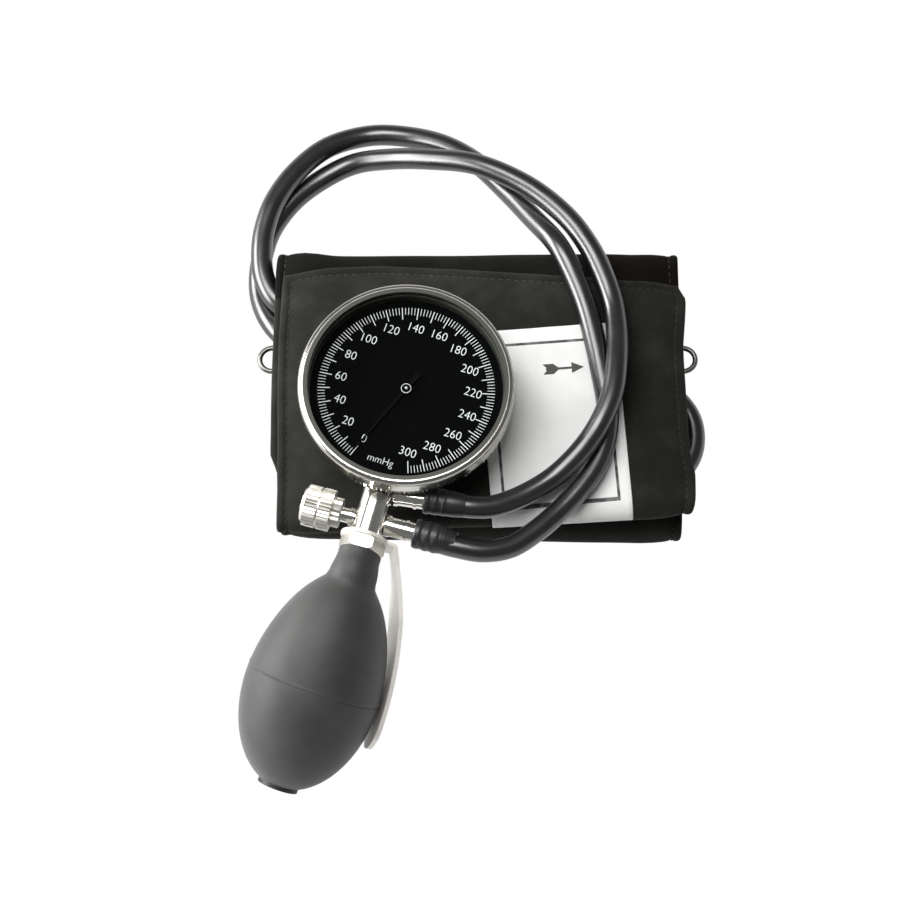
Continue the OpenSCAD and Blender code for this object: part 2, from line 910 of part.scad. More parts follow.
// Thin hollow capsule with ring corrugations
module capsule() {
    skin = 0.3;
    wave = 0.25;
    steps = 28;
    port = 1;
    half = capsule_h / 2 - wave;
    function lift(r) = half * sqrt(max(0, 1 - pow(r / capsule_r, 6))) + wave * cos(360 * r / 3.5);
    color("#c8b070")
        at_gauge()
            translate([capsule_pos[0], capsule_pos[1], capsule_z + capsule_h / 2])
                rotate_extrude($fn = 72)
                    polygon(concat(
                        [for (i = [0:steps]) let (r = port + (capsule_r - port) * i / steps) [r, -lift(r)]],
                        [for (i = [steps:-1:0]) let (r = capsule_r * i / steps) [r, lift(r)]],
                        [for (i = [0:steps - 3]) let (r = capsule_r * i / steps) [r, lift(r) - skin]],
                        [for (i = [steps - 3:-1:0]) let (r = port + (capsule_r - port) * i / steps)
                            [r, -lift(r) + skin]]
                    ));
}

module capsule_stud() {
    foot_z = capsule_z + capsule_h + 0.02;
    color("#a0a2a4")
        at_gauge()
            translate([capsule_pos[0], capsule_pos[1], 0]) {
                rod(1.6, foot_z, foot_z + 0.4);
                rod(0.8, foot_z, stud_top - 0.3);
                rod(0.4, foot_z, stud_top);
            }
}

module capsule_socket() {
    color("#c2a65c")
        at_gauge()
            translate([capsule_pos[0], capsule_pos[1], 0])
                tube(3.5, 0.8, back_t, capsule_z);
}

// Small pipe from the stem's inner end, down and under the capsule to its socket
module feed_tube() {
    pipe_r = 0.77;
    low = back_t + 0.9;
    turn_y = -24.6;
    color("#b87a4a")
        at_gauge() {
            translate([0, 0, stem_z])
                rotate([90, 0, 0])
                    rod(pipe_r, -turn_y, spigot_in + 1.2);
            translate([0, turn_y, stem_z])
                sphere(r = pipe_r, $fn = 24);
            translate([0, turn_y, 0])
                rod(pipe_r, low, stem_z);
            translate([0, turn_y, low])
                sphere(r = pipe_r, $fn = 24);
            translate([0, capsule_pos[1], low])
                rotate([90, 0, 0])
                    rod(pipe_r, 0, capsule_pos[1] - turn_y);
            translate([0, capsule_pos[1], low])
                sphere(r = pipe_r, $fn = 24);
            translate([0, capsule_pos[1], low])
                rotate([0, 90, 0])
                    rod(pipe_r, 0, capsule_pos[0] - 3.3);
        }
}

module case_nut() {
    color("#9a9b99")
        along_stem()
            difference() {
                translate([0, 0, nut_at])
                    cylinder(d = nut_d, h = nut_t, $fn = 6);
                rod(spigot_r + 0.03, nut_at - 1, nut_at + nut_t + 1);
            }
}

// Stem, valve and nipples

cross_bore_r = 2.55;
tail_bore_r = 2.05;

module stem_body() {
    color("#cfd0ce")
        difference() {
            along_stem() {
                rod(stem_r, boss_face, stem_end);
                rod(spigot_r, spigot_in, boss_face + 1);
            }
            along_stem() {
                rod(air_bore_r, spigot_in + 1.2, gauge_tap);
                rod(0.75, spigot_in - 1, spigot_in + 1.3);
                rod(air_bore_r, air_tap, stem_end + 1);
                rod(spigot_r + run_gap, stem_end - spigot_seat, stem_end + 1);
            }
            to_right(gauge_tap, nipple_turn) {
                rod(tail_bore_r, 1.9, stem_r + 1);
                rod(air_bore_r * 0.8, 0, 3);
            }
            to_right(air_tap) {
                rod(tail_bore_r, 1.9, stem_r + 1);
                rod(air_bore_r * 0.8, 0, 3);
            }
            to_left(air_tap) {
                rod(cross_bore_r, 2, stem_r + 1);
                rod(0.9, 0, 3);
            }
        }
}

module nipple(r) {
    color("#c9cac8")
        difference() {
            union() {
                rod(2.07, 2, nipple_start + 0.5);
                rod(r, nipple_start, nipple_end);
                rod(r + 0.3, nipple_start, nipple_start + 1.4);
                rod(r + 0.35, sleeve_start - 3.2, sleeve_start - 2.2);
            }
            rod(1.1, 1, nipple_end + 1);
        }
}

module nipple_gauge() {
    to_right(gauge_tap, nipple_turn)
        nipple(nipple_r);
}

module nipple_air() {
    to_right(air_tap)
        nipple(nipple_r);
}

needle_r = 1.5;
bush_end = 9.8;
knob_start = 9.95;
knob_mid = 13;
knob_end = 23;
seal_at = 8.7;

module valve_bush() {
    color("#c4c5c3")
        to_left(air_tap)
            difference() {
                union() {
                    rod(2.57, 2.05, bush_end);
                    rod(3.1, stem_r + 0.1, stem_r + 1.4);
                }
                rod(needle_r + run_gap, 2, bush_end + 1);
                rod(2.05, seal_at - 0.1, bush_end + 1);
            }
}

module valve_needle() {
    color("#a6a7a5")
        to_left(air_tap) {
            rod(needle_r, 3, knob_end - 3);
            translate([0, 0, 1.5])
                cylinder(r1 = 0.35, r2 = needle_r, h = 1.51);
        }
}

module valve_seal() {
    color("#1a1a1a")
        to_left(air_tap)
            tube(2.07, needle_r + run_gap, seal_at, seal_at + 0.7);
}

// Round knob with flutes, and a smaller toothed flange towards the stem
module valve_knob() {
    flutes = 36;
    flute_in = 0.3;
    flange_r = 5;
    flange_in = 0.45;
    slot_w = 1;
    slot_l = 6.4;
    color("#dcdcda")
        to_left(air_tap)
            difference() {
                union() {
                    translate([0, 0, knob_mid])
                        linear_extrude(knob_end - knob_mid - 1)
                            polygon([for (i = [0:2 * flutes - 1])
                                let (
                                    r = knob_d / 2 - (i % 2) * flute_in,
                                    a = 180 * i / flutes
                                )
                                [r * cos(a), r * sin(a)]]);
                    translate([0, 0, knob_end - 1 - weld])
                        cylinder(r1 = knob_d / 2 - 0.7, r2 = knob_d / 2 - 1.6, h = 1 + weld);
                    translate([0, 0, knob_start])
                        linear_extrude(knob_mid - knob_start + weld)
                            polygon([for (i = [0:35])
                                let (r = flange_r - (i % 2) * flange_in)
                                [r * cos(10 * i), r * sin(10 * i)]]);
                }
                rod(needle_r + run_gap, knob_start - 1, knob_end - 2.5);
                tube(knob_d, knob_d / 2 - 0.6, knob_mid + 4, knob_mid + 4.7);
                for (a = [0:120:240])
                    rotate(a)
                        translate([knob_d / 2 - 0.9, -slot_w / 2, knob_mid + 1.2])
                            cube([2, slot_w, slot_l]);
            }
}

module hex_collar() {
    color("#d2d3d0")
        along_stem(collar_at)
            difference() {
                intersection() {
                    cylinder(d = collar_d, h = collar_h, $fn = 6);
                    union() {
                        cylinder(r1 = collar_d / 2 - 0.7, r2 = collar_d / 2 + 0.1, h = 0.8);
                        rod(collar_d / 2 + 0.1, 0.8 - 0.01, collar_h - 0.8 + 0.01);
                        translate([0, 0, collar_h - 0.8])
                            cylinder(r1 = collar_d / 2 + 0.1, r2 = collar_d / 2 - 0.7, h = 0.8);
                    }
                }
                rod(spigot_r + 0.1, -1, collar_h + 1);
            }
}

// Spoon grip: a ring under the collar, and a curved plate beside the bulb
module spoon_grip() {
    color("#d4d5d1") {
        along_stem(stem_end)
            difference() {
                union() {
                    rod(8.2, 0, collar_at - stem_end);
                    rotate(-spoon_roll)
                        translate([5, -spoon_root_w / 2, 0])
                            cube([5.2, spoon_root_w, collar_at - stem_end]);
                }
                rod(spigot_r + 0.1, -1, 2);
            }
        along_stem((stem_end + collar_at) / 2)
            rotate([spoon_down, 0, 0])
                rotate([0, -spoon_side, -spoon_roll])
                    intersection() {
                        translate([spoon_off - spoon_arc_r, spoon_w / 2 + 2, spoon_peak])
                            rotate([90, 0, 0])
                                tube(spoon_arc_r + spoon_t / 2, spoon_arc_r - spoon_t / 2, 0, spoon_w + 4,
                                    $fn = 160);
                        rotate([90, 0, 90])
                            linear_extrude(60) {
                                translate([0, spoon_end - spoon_w / 2])
                                    circle(d = spoon_w);
                                polygon([
                                    [-spoon_root_w / 2, -0.4], [spoon_root_w / 2, -0.4],
                                    [spoon_root_w / 2, 6], [spoon_w / 2, 22],
                                    [spoon_w / 2, spoon_end - spoon_w / 2],
                                    [-spoon_w / 2, spoon_end - spoon_w / 2], [-spoon_w / 2, 22],
                                    [-spoon_root_w / 2, 6]
                                ]);
                            }
                    }
    }
}

// Bulb and its valves

module bulb_spigot() {
    color("#c4c5c3")
        along_stem()
            difference() {
                union() {
                    rod(spigot_r, stem_end - spigot_seat, neck_start);
                    rod(neck_bore_r + 0.05, neck_start, neck_end - 0.1);
                }
                rod(air_bore_r, stem_end - 4, neck_start + 2);
                rod(3.4, neck_start + 1, neck_end + 1);
            }
}

module outlet_disc() {
    color("#3a3a3c")
        along_stem(neck_end - 2)
            rod(3.3, 0, 0.6);
}

module outlet_seat() {
    color("#b0b1af")
        along_stem(neck_end - 1.35)
            tube(3.43, 1.2, 0, 1.2);
}

neck_power = 1.73;
function neck_curve(d, length) = sqrt(max(0, 1 - pow(d / length, neck_power)));
function end_curve(d, length) = sqrt(max(0, 1 - pow(d / length, 2)));
// Spreads the stations, closer together where the outline turns fast
function station(i, n, length) = length * sin(90 * i / n);

// The rubber neck, bent at a round elbow
module neck(r, z0) {
    along_stem()
        rod(r, z0, bend_vertex);
    along_stem(bend_vertex)
        sphere(r = r);
    at_bulb()
        rod(r, neck_end - bend_vertex, 1);
}

module bulb() {
    body = bulb_flat - bulb_mid;
    in_r = bulb_r - bulb_wall;
    color("#333436")
        difference() {
            union() {
                neck(neck_r, neck_start);
                at_bulb()
                    rotate_extrude($fn = 96)
                        polygon(concat(
                            [[0, 0]],
                            [for (i = [bulb_steps:-1:0])
                                let (z = bulb_mid - station(i, bulb_steps, bulb_mid))
                                [max(neck_r, bulb_r * neck_curve(bulb_mid - z, bulb_neck_l)), max(z, 0)]],
                            [for (i = [1:bulb_steps])
                                let (z = bulb_mid + station(i, bulb_steps, body))
                                [i == bulb_steps ? bulb_end_r
                                    : bulb_r * end_curve(z - bulb_mid, bulb_end_l), z]],
                            [[0, bulb_flat]]
                        ));
            }
            neck(neck_bore_r, neck_start - 1);
            at_bulb()
                rotate_extrude($fn = 96)
                    polygon(concat(
                        [[0, 2.5]],
                        [for (i = [bulb_steps:-1:0])
                            let (z = bulb_mid - station(i, bulb_steps, bulb_mid - 2.5))
                            [in_r * neck_curve(bulb_mid - z, bulb_neck_l - bulb_wall), z]],
                        [for (i = [1:bulb_steps])
                            let (z = bulb_mid + station(i, bulb_steps, boss_in - bulb_mid))
                            [in_r * end_curve(z - bulb_mid, bulb_end_l - bulb_wall), z]],
                        [[bulb_hole_r, boss_in], [bulb_hole_r, bulb_flat + 1], [0, bulb_flat + 1]]
                    ));
            at_bulb()
                rod(neck_bore_r, 0, 4);
            along_stem()
                rod(neck_r + 1, neck_start - 3, neck_start);
        }
}

end_seat = bulb_flat - 2.2;

module end_valve_body() {
    color("#6c6d6b")
        at_bulb()
            difference() {
                union() {
                    rod(bulb_hole_r + 0.05, boss_in - 0.6, bulb_flat + 0.1);
                    rod(bulb_end_r - 0.1, bulb_flat, bulb_flat + 1.5);
                }
                rod(3.4, boss_in - 1.6, end_seat);
                rod(1.4, end_seat - 1, bulb_flat + 2);
                rod(3, bulb_flat + 0.7, bulb_flat + 2);
            }
}

module end_valve_disc() {
    color("#3a3a3c")
        at_bulb()
            rod(3.3, end_seat - 0.65, end_seat - 0.05);
}

module end_valve_cage() {
    color("#b0b1af")
        at_bulb()
            difference() {
                rod(3.43, boss_in - 0.5, boss_in + 0.5);
                for (a = [0:90:270])
                    rotate(a)
                        translate([1.8, 0, 0])
                            rod(0.8, boss_in - 1, boss_in + 1);
            }
}

module end_valve_grille() {
    color("#55565a")
        at_bulb()
            difference() {
                rod(3.03, bulb_flat + 0.7, bulb_flat + 1.3);
                rod(0.5, bulb_flat, bulb_flat + 2);
                for (a = [0:60:300])
                    rotate(a)
                        translate([1.7, 0, 0])
                            rod(0.5, bulb_flat, bulb_flat + 2);
            }
}

cuff_wrap();
bladder();
hook_patch();
loop_patch();
label_patch();
d_ring();
d_ring_loop();
port_gauge();
port_air();
hose_gauge();
hose_air();
sleeve_gauge();
sleeve_air();
gauge_case();
case_back();
back_screws();
bezel_ring();
crystal();
crystal_gasket();
dial();
pointer();
pinion_shaft();
hairspring();
hairspring_stud();
sector_gear();
sector_arbor();
rocker_shaft();
movement_base();
movement_top();
base_pillars();
top_pillars();
plate_screws();
capsule();
capsule_stud();
capsule_socket();
feed_tube();
case_nut();
stem_body();
nipple_gauge();
nipple_air();
valve_bush();
valve_needle();
valve_seal();
valve_knob();
hex_collar();
spoon_grip();
bulb_spigot();
outlet_disc();
outlet_seat();
bulb();
end_valve_body();
end_valve_disc();
end_valve_cage();
end_valve_grille();
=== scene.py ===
# Looks of a hand blood-pressure gauge with its bulb, hoses and folded arm cuff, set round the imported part.

import math

import bmesh
import bpy
import numpy as np
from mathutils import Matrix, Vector


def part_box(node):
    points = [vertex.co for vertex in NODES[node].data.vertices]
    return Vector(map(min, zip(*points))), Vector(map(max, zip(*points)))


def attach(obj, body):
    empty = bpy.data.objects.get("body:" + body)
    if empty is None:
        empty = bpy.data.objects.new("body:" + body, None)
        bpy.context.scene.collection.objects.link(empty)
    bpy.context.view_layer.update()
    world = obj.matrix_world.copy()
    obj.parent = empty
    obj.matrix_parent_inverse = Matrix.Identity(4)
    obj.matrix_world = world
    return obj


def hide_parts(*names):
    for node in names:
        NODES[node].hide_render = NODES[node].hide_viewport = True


bl_info = {
    "name": "Blood-pressure gauge and cuff",
    "version": (1, 0, 0),
    "blender": (4, 5, 0),
    "location": "3D View > Sidebar > Cuff gauge",
    "description": "Builds the cloth, rubber, print and metal finishes of a hand gauge on its folded cuff",
    "category": "Object",
}

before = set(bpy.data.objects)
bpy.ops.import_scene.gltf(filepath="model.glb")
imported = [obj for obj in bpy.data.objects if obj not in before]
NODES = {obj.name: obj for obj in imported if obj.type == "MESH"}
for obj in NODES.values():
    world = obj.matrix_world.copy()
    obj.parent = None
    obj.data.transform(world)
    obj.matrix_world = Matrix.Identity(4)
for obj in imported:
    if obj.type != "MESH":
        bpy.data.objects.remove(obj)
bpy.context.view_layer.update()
MM = 0.001
MAIN_BODY = "cuff_and_gauge"
SEED = 11

# Places, in millimetres, as the part's source gives them


def turn_z(degrees):
    """Rotation matrix about Z."""
    a = math.radians(degrees)
    return np.array([[math.cos(a), -math.sin(a), 0], [math.sin(a), math.cos(a), 0], [0, 0, 1]])


def turn_x(degrees):
    """Rotation matrix about X."""
    a = math.radians(degrees)
    return np.array([[1, 0, 0], [0, math.cos(a), -math.sin(a)], [0, math.sin(a), math.cos(a)]])


def turn_y(degrees):
    """Rotation matrix about Y."""
    a = math.radians(degrees)
    return np.array([[math.cos(a), 0, math.sin(a)], [0, 1, 0], [-math.sin(a), 0, math.cos(a)]])


CUFF_TOP = 32.6
GAUGE_PLACE = np.array([-26.6, -11.5, CUFF_TOP])
GAUGE_AXES = turn_z(-15.5)
STEM_PLACE = GAUGE_PLACE + np.array([0, 0, 9.3])
STEM_AXES = GAUGE_AXES @ turn_x(90)
DIAL_TURN = -3.0
DIAL_TOP = 19.0
SCALE_START = 247.0
SCALE_SWEEP = 320.0


def to_world(points, axes, place):
    """Points in a part's own axes, in millimetres, carried to the shared frame in metres."""
    return (points @ axes.T + place) * MM


def unit(vectors):
    """The vectors at length 1."""
    return vectors / np.linalg.norm(vectors, axis=-1, keepdims=True)


# Meshes

WELD_DISTANCE = 1e-6


def surface_faces(rows, columns, wrap_rows=False, wrap_columns=False):
    """Quads of a grid of points: each joins a point to its neighbours along both parameters."""
    index = np.arange(rows * columns).reshape(rows, columns)
    if wrap_rows:
        index = np.vstack([index, index[:1]])
    if wrap_columns:
        index = np.hstack([index, index[:, :1]])
    return np.stack([index[:-1, :-1], index[1:, :-1], index[1:, 1:], index[:-1, 1:]], -1).reshape(-1, 4)


def faces_inward(verts, faces):
    """Whether faces point inwards: the volumes of the tetrahedra from the middle of the points to the faces'
    triangles then have a negative sum."""
    fans = np.array([(face[0], face[i], face[i + 1]) for face in faces for i in range(1, len(face) - 1)])
    a, b, c = (verts[fans[:, k]] - verts.mean(0) for k in range(3))
    return (np.cross(b, c) * a).sum() < 0


def make_piece(name, verts, faces, material, body=MAIN_BODY, slot=None, uv=None, weld=False, smooth=True):
    """A mesh object from points in metres and faces, with its finish, that rides on a body."""
    mesh = bpy.data.meshes.new(name)
    mesh.from_pydata(verts.tolist(), [], [list(map(int, face)) for face in faces])
    if uv is not None:
        layer = mesh.uv_layers.new(name="UVMap")
        layer.data.foreach_set("uv", np.asarray(uv, np.float32).ravel())
    if weld:
        edit = bmesh.new()
        edit.from_mesh(mesh)
        bmesh.ops.remove_doubles(edit, verts=edit.verts, dist=WELD_DISTANCE)
        edit.to_mesh(mesh)
        edit.free()
    mesh.polygons.foreach_set("use_smooth", [smooth] * len(mesh.polygons))
    mesh.validate()
    mesh.update()
    piece = bpy.data.objects.new(name, mesh)
    bpy.context.scene.collection.objects.link(piece)
    mesh.materials.append(material)
    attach(piece, body)
    return piece


def grid_piece(name, points, material, wrap_rows=False, wrap_columns=False, uv=None, caps=False, **rest):
    """A piece from a grid of points in metres, with its faces turned outwards. Where the grid wraps, its map
    has one more row or column. Caps close the first and the last row."""
    rows, columns = points.shape[:2]
    verts = points.reshape(-1, 3)
    quads = surface_faces(rows, columns, wrap_rows, wrap_columns)
    way = -1 if faces_inward(verts, quads) else 1
    faces = quads[:, ::way].tolist()
    uv_loops = None
    if uv is not None:
        corners = surface_faces(*uv.shape[:2])[:, ::way]
        uv_loops = uv.reshape(-1, 2)[corners].reshape(-1, 2)
    if caps:
        first = list(range(columns))
        last = list(range((rows - 1) * columns, rows * columns))
        faces += [first[::way], last[::-way]]
        if uv is not None:
            uv_loops = np.vstack([uv_loops, np.zeros((2 * columns, 2))])
    return make_piece(name, verts, faces, material, uv=uv_loops, **rest)


def slab_piece(name, near, far, material, flat=None, **rest):
    """A thin piece from two grids of points in millimetres that meet at their edges, with its faces turned
    outwards. Flat is where each point lies on the piece's map."""
    quads = surface_faces(*near.shape[:2])
    verts = np.concatenate([near.reshape(-1, 3), far.reshape(-1, 3)]) * MM
    faces = np.concatenate([quads, quads[:, ::-1] + len(verts) // 2])
    if faces_inward(verts, faces):
        faces = faces[:, ::-1]
    uv = None
    if flat is not None:
        flat = flat.reshape(-1, 2) * MM
        uv = np.concatenate([flat, flat])[faces].reshape(-1, 2)
    return make_piece(name, verts, faces, material, uv=uv, weld=True, **rest)


def turned_grid(profile, sides, axes, place):
    """Surface of revolution: profile rows (z, r) carried round the local Z axis."""
    angle = np.linspace(0, 2 * math.pi, sides, endpoint=False)
    z, r = profile[:, 0], profile[:, 1]
    across = [np.outer(r, np.cos(angle)), np.outer(r, np.sin(angle))]
    return to_world(np.stack(across + [np.repeat(z[:, None], sides, 1)], -1), axes, place)


def wave_field(a, b, sizes, seed):
    """Smooth bumps: a sum of sine waves of about those sizes in set directions, from -1 to 1."""
    chance = np.random.default_rng(seed)
    total = np.zeros(np.broadcast(a, b).shape)
    for size in sizes:
        way = chance.uniform(0, 2 * math.pi)
        shift = chance.uniform(0, 2 * math.pi)
        stretch = chance.uniform(0.85, 1.2)
        place = a * math.cos(way) + b * math.sin(way)
        total = total + np.sin(2 * math.pi * place / (size * stretch) + shift)
    return total / len(sizes)


def ease(x):
    """Smooth step from 0 to 1."""
    x = np.clip(x, 0, 1)
    return x * x * (3 - 2 * x)


def distances(points):
    """Distance of each point from the first, along the line."""
    return np.concatenate([[0], np.cumsum(np.linalg.norm(np.diff(points, axis=0), axis=1))])


def edged_steps(low, high, edge, count):
    """Places from low to high: at the edge distances from both ends, and evenly apart between."""
    edge = np.array(edge, float)
    inner = np.linspace(low + edge[-1], high - edge[-1], count)[1:-1]
    return np.concatenate([low + edge, inner, high - edge[::-1]])


# Finishes

# Sizes of fine patterns, in millimetres. The real ones are finer still, too fine to show, so they are drawn
# this coarse.
FINE_SCRATCH = 0.35
MOULD_GRAIN = 0.5
PEEL_GRAIN = 0.4


def linear(colour):
    """sRGB hex, or the name of a colour setting, as linear RGBA. A setting is linear already."""
    if not colour.startswith("#"):
        return (*getattr(bpy.context.scene.cuff_colours, colour), 1.0)
    channels = [int(colour.lstrip("#")[i:i + 2], 16) / 255 for i in (0, 2, 4)]
    return tuple(c / 12.92 if c <= 0.04045 else ((c + 0.055) / 1.055) ** 2.4 for c in channels) + (1.0,)


def grey(value):
    """Linear grey as RGBA."""
    return (value, value, value, 1.0)


def add_node(tree, kind, sockets=None, stops=None, **settings):
    """One node with its settings. A socket takes a constant, another node's output, or a node, which stands
    for its first output. A colour ramp also takes its stops, as pairs of a position and a colour."""
    made = tree.nodes.new("ShaderNode" + kind)
    for key, value in settings.items():
        setattr(made, key, value)
    for key, value in (sockets or {}).items():
        if isinstance(value, bpy.types.Node):
            value = value.outputs[0]
        if isinstance(value, bpy.types.NodeSocket):
            tree.links.new(value, made.inputs[key])
        else:
            made.inputs[key].default_value = value
    if stops:
        elements = made.color_ramp.elements
        while len(elements) < len(stops):
            elements.new(0.5)
        for element, (position, colour) in zip(elements, stops):
            element.position = position
            element.color = colour
    return made


def new_finish(name):
    """An empty node material, and its tree."""
    material = bpy.data.materials.new(name)
    material.use_nodes = True
    material.node_tree.nodes.clear()
    return material, material.node_tree


def close_finish(material, height, strength, depth_mm, **sockets):
    """Puts a Principled shader at the end, with a bump from a height."""
    tree = material.node_tree
    values = {key.replace("_", " "): value for key, value in sockets.items()}
    values["Normal"] = add_node(tree, "Bump", {"Height": height, "Strength": strength,
                                               "Distance": depth_mm * MM})
    add_node(tree, "OutputMaterial", {"Surface": add_node(tree, "BsdfPrincipled", values)})
    return material


def patches(tree, size_mm, detail=3.0, roughness=0.55):
    """Noise on object coordinates whose patches are about size_mm across."""
    place = add_node(tree, "TexCoord").outputs["Object"]
    return add_node(tree, "TexNoise", {"Vector": place, "Scale": 1 / (size_mm * MM), "Detail": detail,
                                       "Roughness": roughness})


def metal_finish(name, colour, shade, rough, rough_spread=0.06, grain_mm=3.0, scratch=0.05, metallic=1.0):
    """Metal: a slightly uneven polish, with faint fine scratches in the bump."""
    material, tree = new_finish(name)
    broad = patches(tree, grain_mm * 4)
    fine = patches(tree, FINE_SCRATCH, 2.0)
    tone = add_node(tree, "ValToRGB", {"Fac": broad}, [(0.3, linear(shade)), (0.7, linear(colour))])
    worn = add_node(tree, "ValToRGB", {"Fac": broad},
                    [(0.3, grey(rough + rough_spread)), (0.75, grey(max(0.02, rough - rough_spread)))])
    return close_finish(material, fine, scratch, 0.02, Base_Color=tone, Metallic=metallic, Roughness=worn)


def rim_finish(name, colour, shade, rough, by_height, reflection_at, bright_at):
    """Bright metal with the dark dial's reflection painted inside the rim, as a dull olive that is not
    metal. The two are told apart by height, or by the distance from the gauge's middle: dull at one value
    and bright at the other, in millimetres."""
    material, tree = new_finish(name)
    place = add_node(tree, "SeparateXYZ", {0: add_node(tree, "TexCoord").outputs["Object"]})
    measure = place.outputs["Z"]
    if not by_height:
        squares = []
        for axis, middle in zip("XY", GAUGE_PLACE * MM):
            off = add_node(tree, "Math", {0: place.outputs[axis], 1: float(middle)}, operation="SUBTRACT")
            squares.append(add_node(tree, "Math", {0: off, 1: off}, operation="MULTIPLY"))
        both = add_node(tree, "Math", {0: squares[0], 1: squares[1]}, operation="ADD")
        measure = add_node(tree, "Math", {0: both}, operation="SQRT")
    outer = add_node(tree, "MapRange", {0: measure, 1: reflection_at * MM, 2: bright_at * MM})
    worn = add_node(tree, "ValToRGB", {"Fac": patches(tree, 20)},
                    [(0.3, linear(shade)), (0.7, linear(colour))])
    # Painted reflection: a dull olive stands in for the dark dial that the inner wall mirrors.
    tone = add_node(tree, "MixRGB", {"Fac": outer, "Color1": linear("#2c2c23"), "Color2": worn})
    dull = add_node(tree, "MapRange", {0: outer, 3: 0.5, 4: rough})
    scratches = patches(tree, FINE_SCRATCH, 2.0)
    return close_finish(material, scratches, 0.03, 0.02, Base_Color=tone, Metallic=outer, Roughness=dull)


def rubber_finish(name, colour, bloom, rough, grain=0.25, index=1.5, specular=0.5, sheen=0.0):
    """Rubber: near black, with a pale bloom in soft patches and a very fine moulded grain."""
    material, tree = new_finish(name)
    broad = patches(tree, 14, 4.0)
    fine = patches(tree, MOULD_GRAIN, 2.0)
    tone = add_node(tree, "ValToRGB", {"Fac": broad}, [(0.42, linear(colour)), (0.85, linear(bloom))])
    dull = add_node(tree, "ValToRGB", {"Fac": broad}, [(0.3, grey(rough - 0.04)), (0.8, grey(rough + 0.06))])
    return close_finish(material, fine, grain, 0.04, Base_Color=tone, Roughness=dull, IOR=index,
                        Specular_IOR_Level=specular, Sheen_Weight=sheen, Sheen_Roughness=0.5,
                        Sheen_Tint=linear("#dcdcde"))


def weave_height(tree, thread_mm):
    """Plain weave on the cloth's own map: the product of a sine wave across and one along, a thread to each
    half wave. It also gives the map's two coordinates."""
    place = add_node(tree, "UVMap", uv_map="UVMap").outputs["UV"]
    apart = add_node(tree, "SeparateXYZ", {0: place})
    across, along = apart.outputs["X"], apart.outputs["Y"]
    turn = math.pi / (thread_mm * MM)
    waves = []
    for value in (across, along):
        angle = add_node(tree, "Math", {0: value, 1: turn}, operation="MULTIPLY")
        waves.append(add_node(tree, "Math", {0: angle}, operation="SINE"))
    weave = add_node(tree, "Math", {0: waves[0], 1: waves[1]}, operation="MULTIPLY")
    return weave, across, along


def face_cloth(tree, tone, lint, across, along):
    """Painted shade over the cuff's back fold, where the flap's edge shades it: the cloth there is mixed
    most of the way to near black. Brown tape binds that stretch from TAPE_START across. It gives the new
    tone, and where the painted shade is, as 1 or 0."""
    ragged = add_node(tree, "Math", {0: patches(tree, 4.0), 1: 3 * MM}, operation="MULTIPLY")
    frayed = add_node(tree, "Math", {0: across, 1: ragged}, operation="ADD")
    bound = add_node(tree, "Math", {0: frayed, 1: TAPE_START * MM}, operation="GREATER_THAN")
    after = add_node(tree, "Math", {0: along, 1: FOLD_SHADE_START * MM}, operation="GREATER_THAN")
    before = add_node(tree, "Math", {0: along, 1: FOLD_SHADE_END * MM}, operation="LESS_THAN")
    fold_shade = add_node(tree, "Math", {0: after, 1: before}, operation="MULTIPLY")
    taped = add_node(tree, "Math", {0: fold_shade, 1: bound}, operation="MULTIPLY")
    # Painted shade: the back fold is mixed towards near black, where the flap shades it.
    share = add_node(tree, "Math", {0: fold_shade, 1: 0.7}, operation="MULTIPLY")
    tone = add_node(tree, "MixRGB", {"Fac": share, "Color1": tone, "Color2": linear("#0b0b0a")})
    tape = add_node(tree, "ValToRGB", {"Fac": lint}, [(0.3, linear("#0b0907")), (0.8, linear("#1a1511"))])
    return add_node(tree, "MixRGB", {"Fac": taped, "Color1": tone, "Color2": tape}), fold_shade


def cloth_finish(name, dark, mid, pale, thread_mm, fold_shaded=False):
    """Woven cotton: a thread grid, uneven dye in soft patches, and paler lint on the high threads. With the
    last argument set, the back fold also gets painted shade, with less sheen.
    """
    material, tree = new_finish(name)
    weave, across, along = weave_height(tree, thread_mm)
    broad = patches(tree, 26, 6.0, 0.62)
    streaks = patches(tree, 7, 4.0, 0.6)
    lint = patches(tree, 0.5, 3.0, 0.7)
    cloud = add_node(tree, "Mix", {0: 0.35, 2: broad, 3: streaks}, data_type="FLOAT")
    dye = add_node(tree, "ValToRGB", {"Fac": cloud},
                   [(0.34, linear(dark)), (0.5, linear(mid)), (0.68, linear(pale))])
    raised = add_node(tree, "MapRange", {0: weave, 1: -1.0, 2: 1.0, 3: 0.0, 4: 0.9})
    speck = add_node(tree, "Math", {0: raised, 1: lint}, operation="MULTIPLY")
    tone = add_node(tree, "MixRGB", {"Fac": speck, "Color1": dye, "Color2": linear(pale)})
    gloss = 0.15
    if fold_shaded:
        tone, fold_shade = face_cloth(tree, tone, lint, across, along)
        # Less sheen and gloss on the back fold, so its painted shade reads darker.
        gloss = add_node(tree, "MapRange", {0: fold_shade, 3: 0.15, 4: 0.05})
    fuzz = add_node(tree, "Math", {0: lint, 1: 1.2}, operation="MULTIPLY")
    height = add_node(tree, "Math", {0: weave, 1: fuzz}, operation="ADD")
    return close_finish(material, height, 0.5, 0.12, Base_Color=tone, Roughness=0.95,
                        Specular_IOR_Level=gloss, Sheen_Weight=gloss, Sheen_Roughness=0.5,
                        Sheen_Tint=linear("#b0aea8"))


def knit_finish(name, dark, pale):
    """Hook or loop tape: a fuzzy pile, with painted shade between the tufts: its colour darkens where the
    pile is low.
    """
    material, tree = new_finish(name)
    tufts = patches(tree, 1.3, 4.0, 0.7)
    # Painted shade: the same noise as the bump sets the colour, so the low pile is darker.
    tone = add_node(tree, "ValToRGB", {"Fac": tufts}, [(0.35, linear(dark)), (0.7, linear(pale))])
    return close_finish(material, tufts, 0.9, 0.5, Base_Color=tone, Roughness=0.95, Sheen_Weight=0.4)


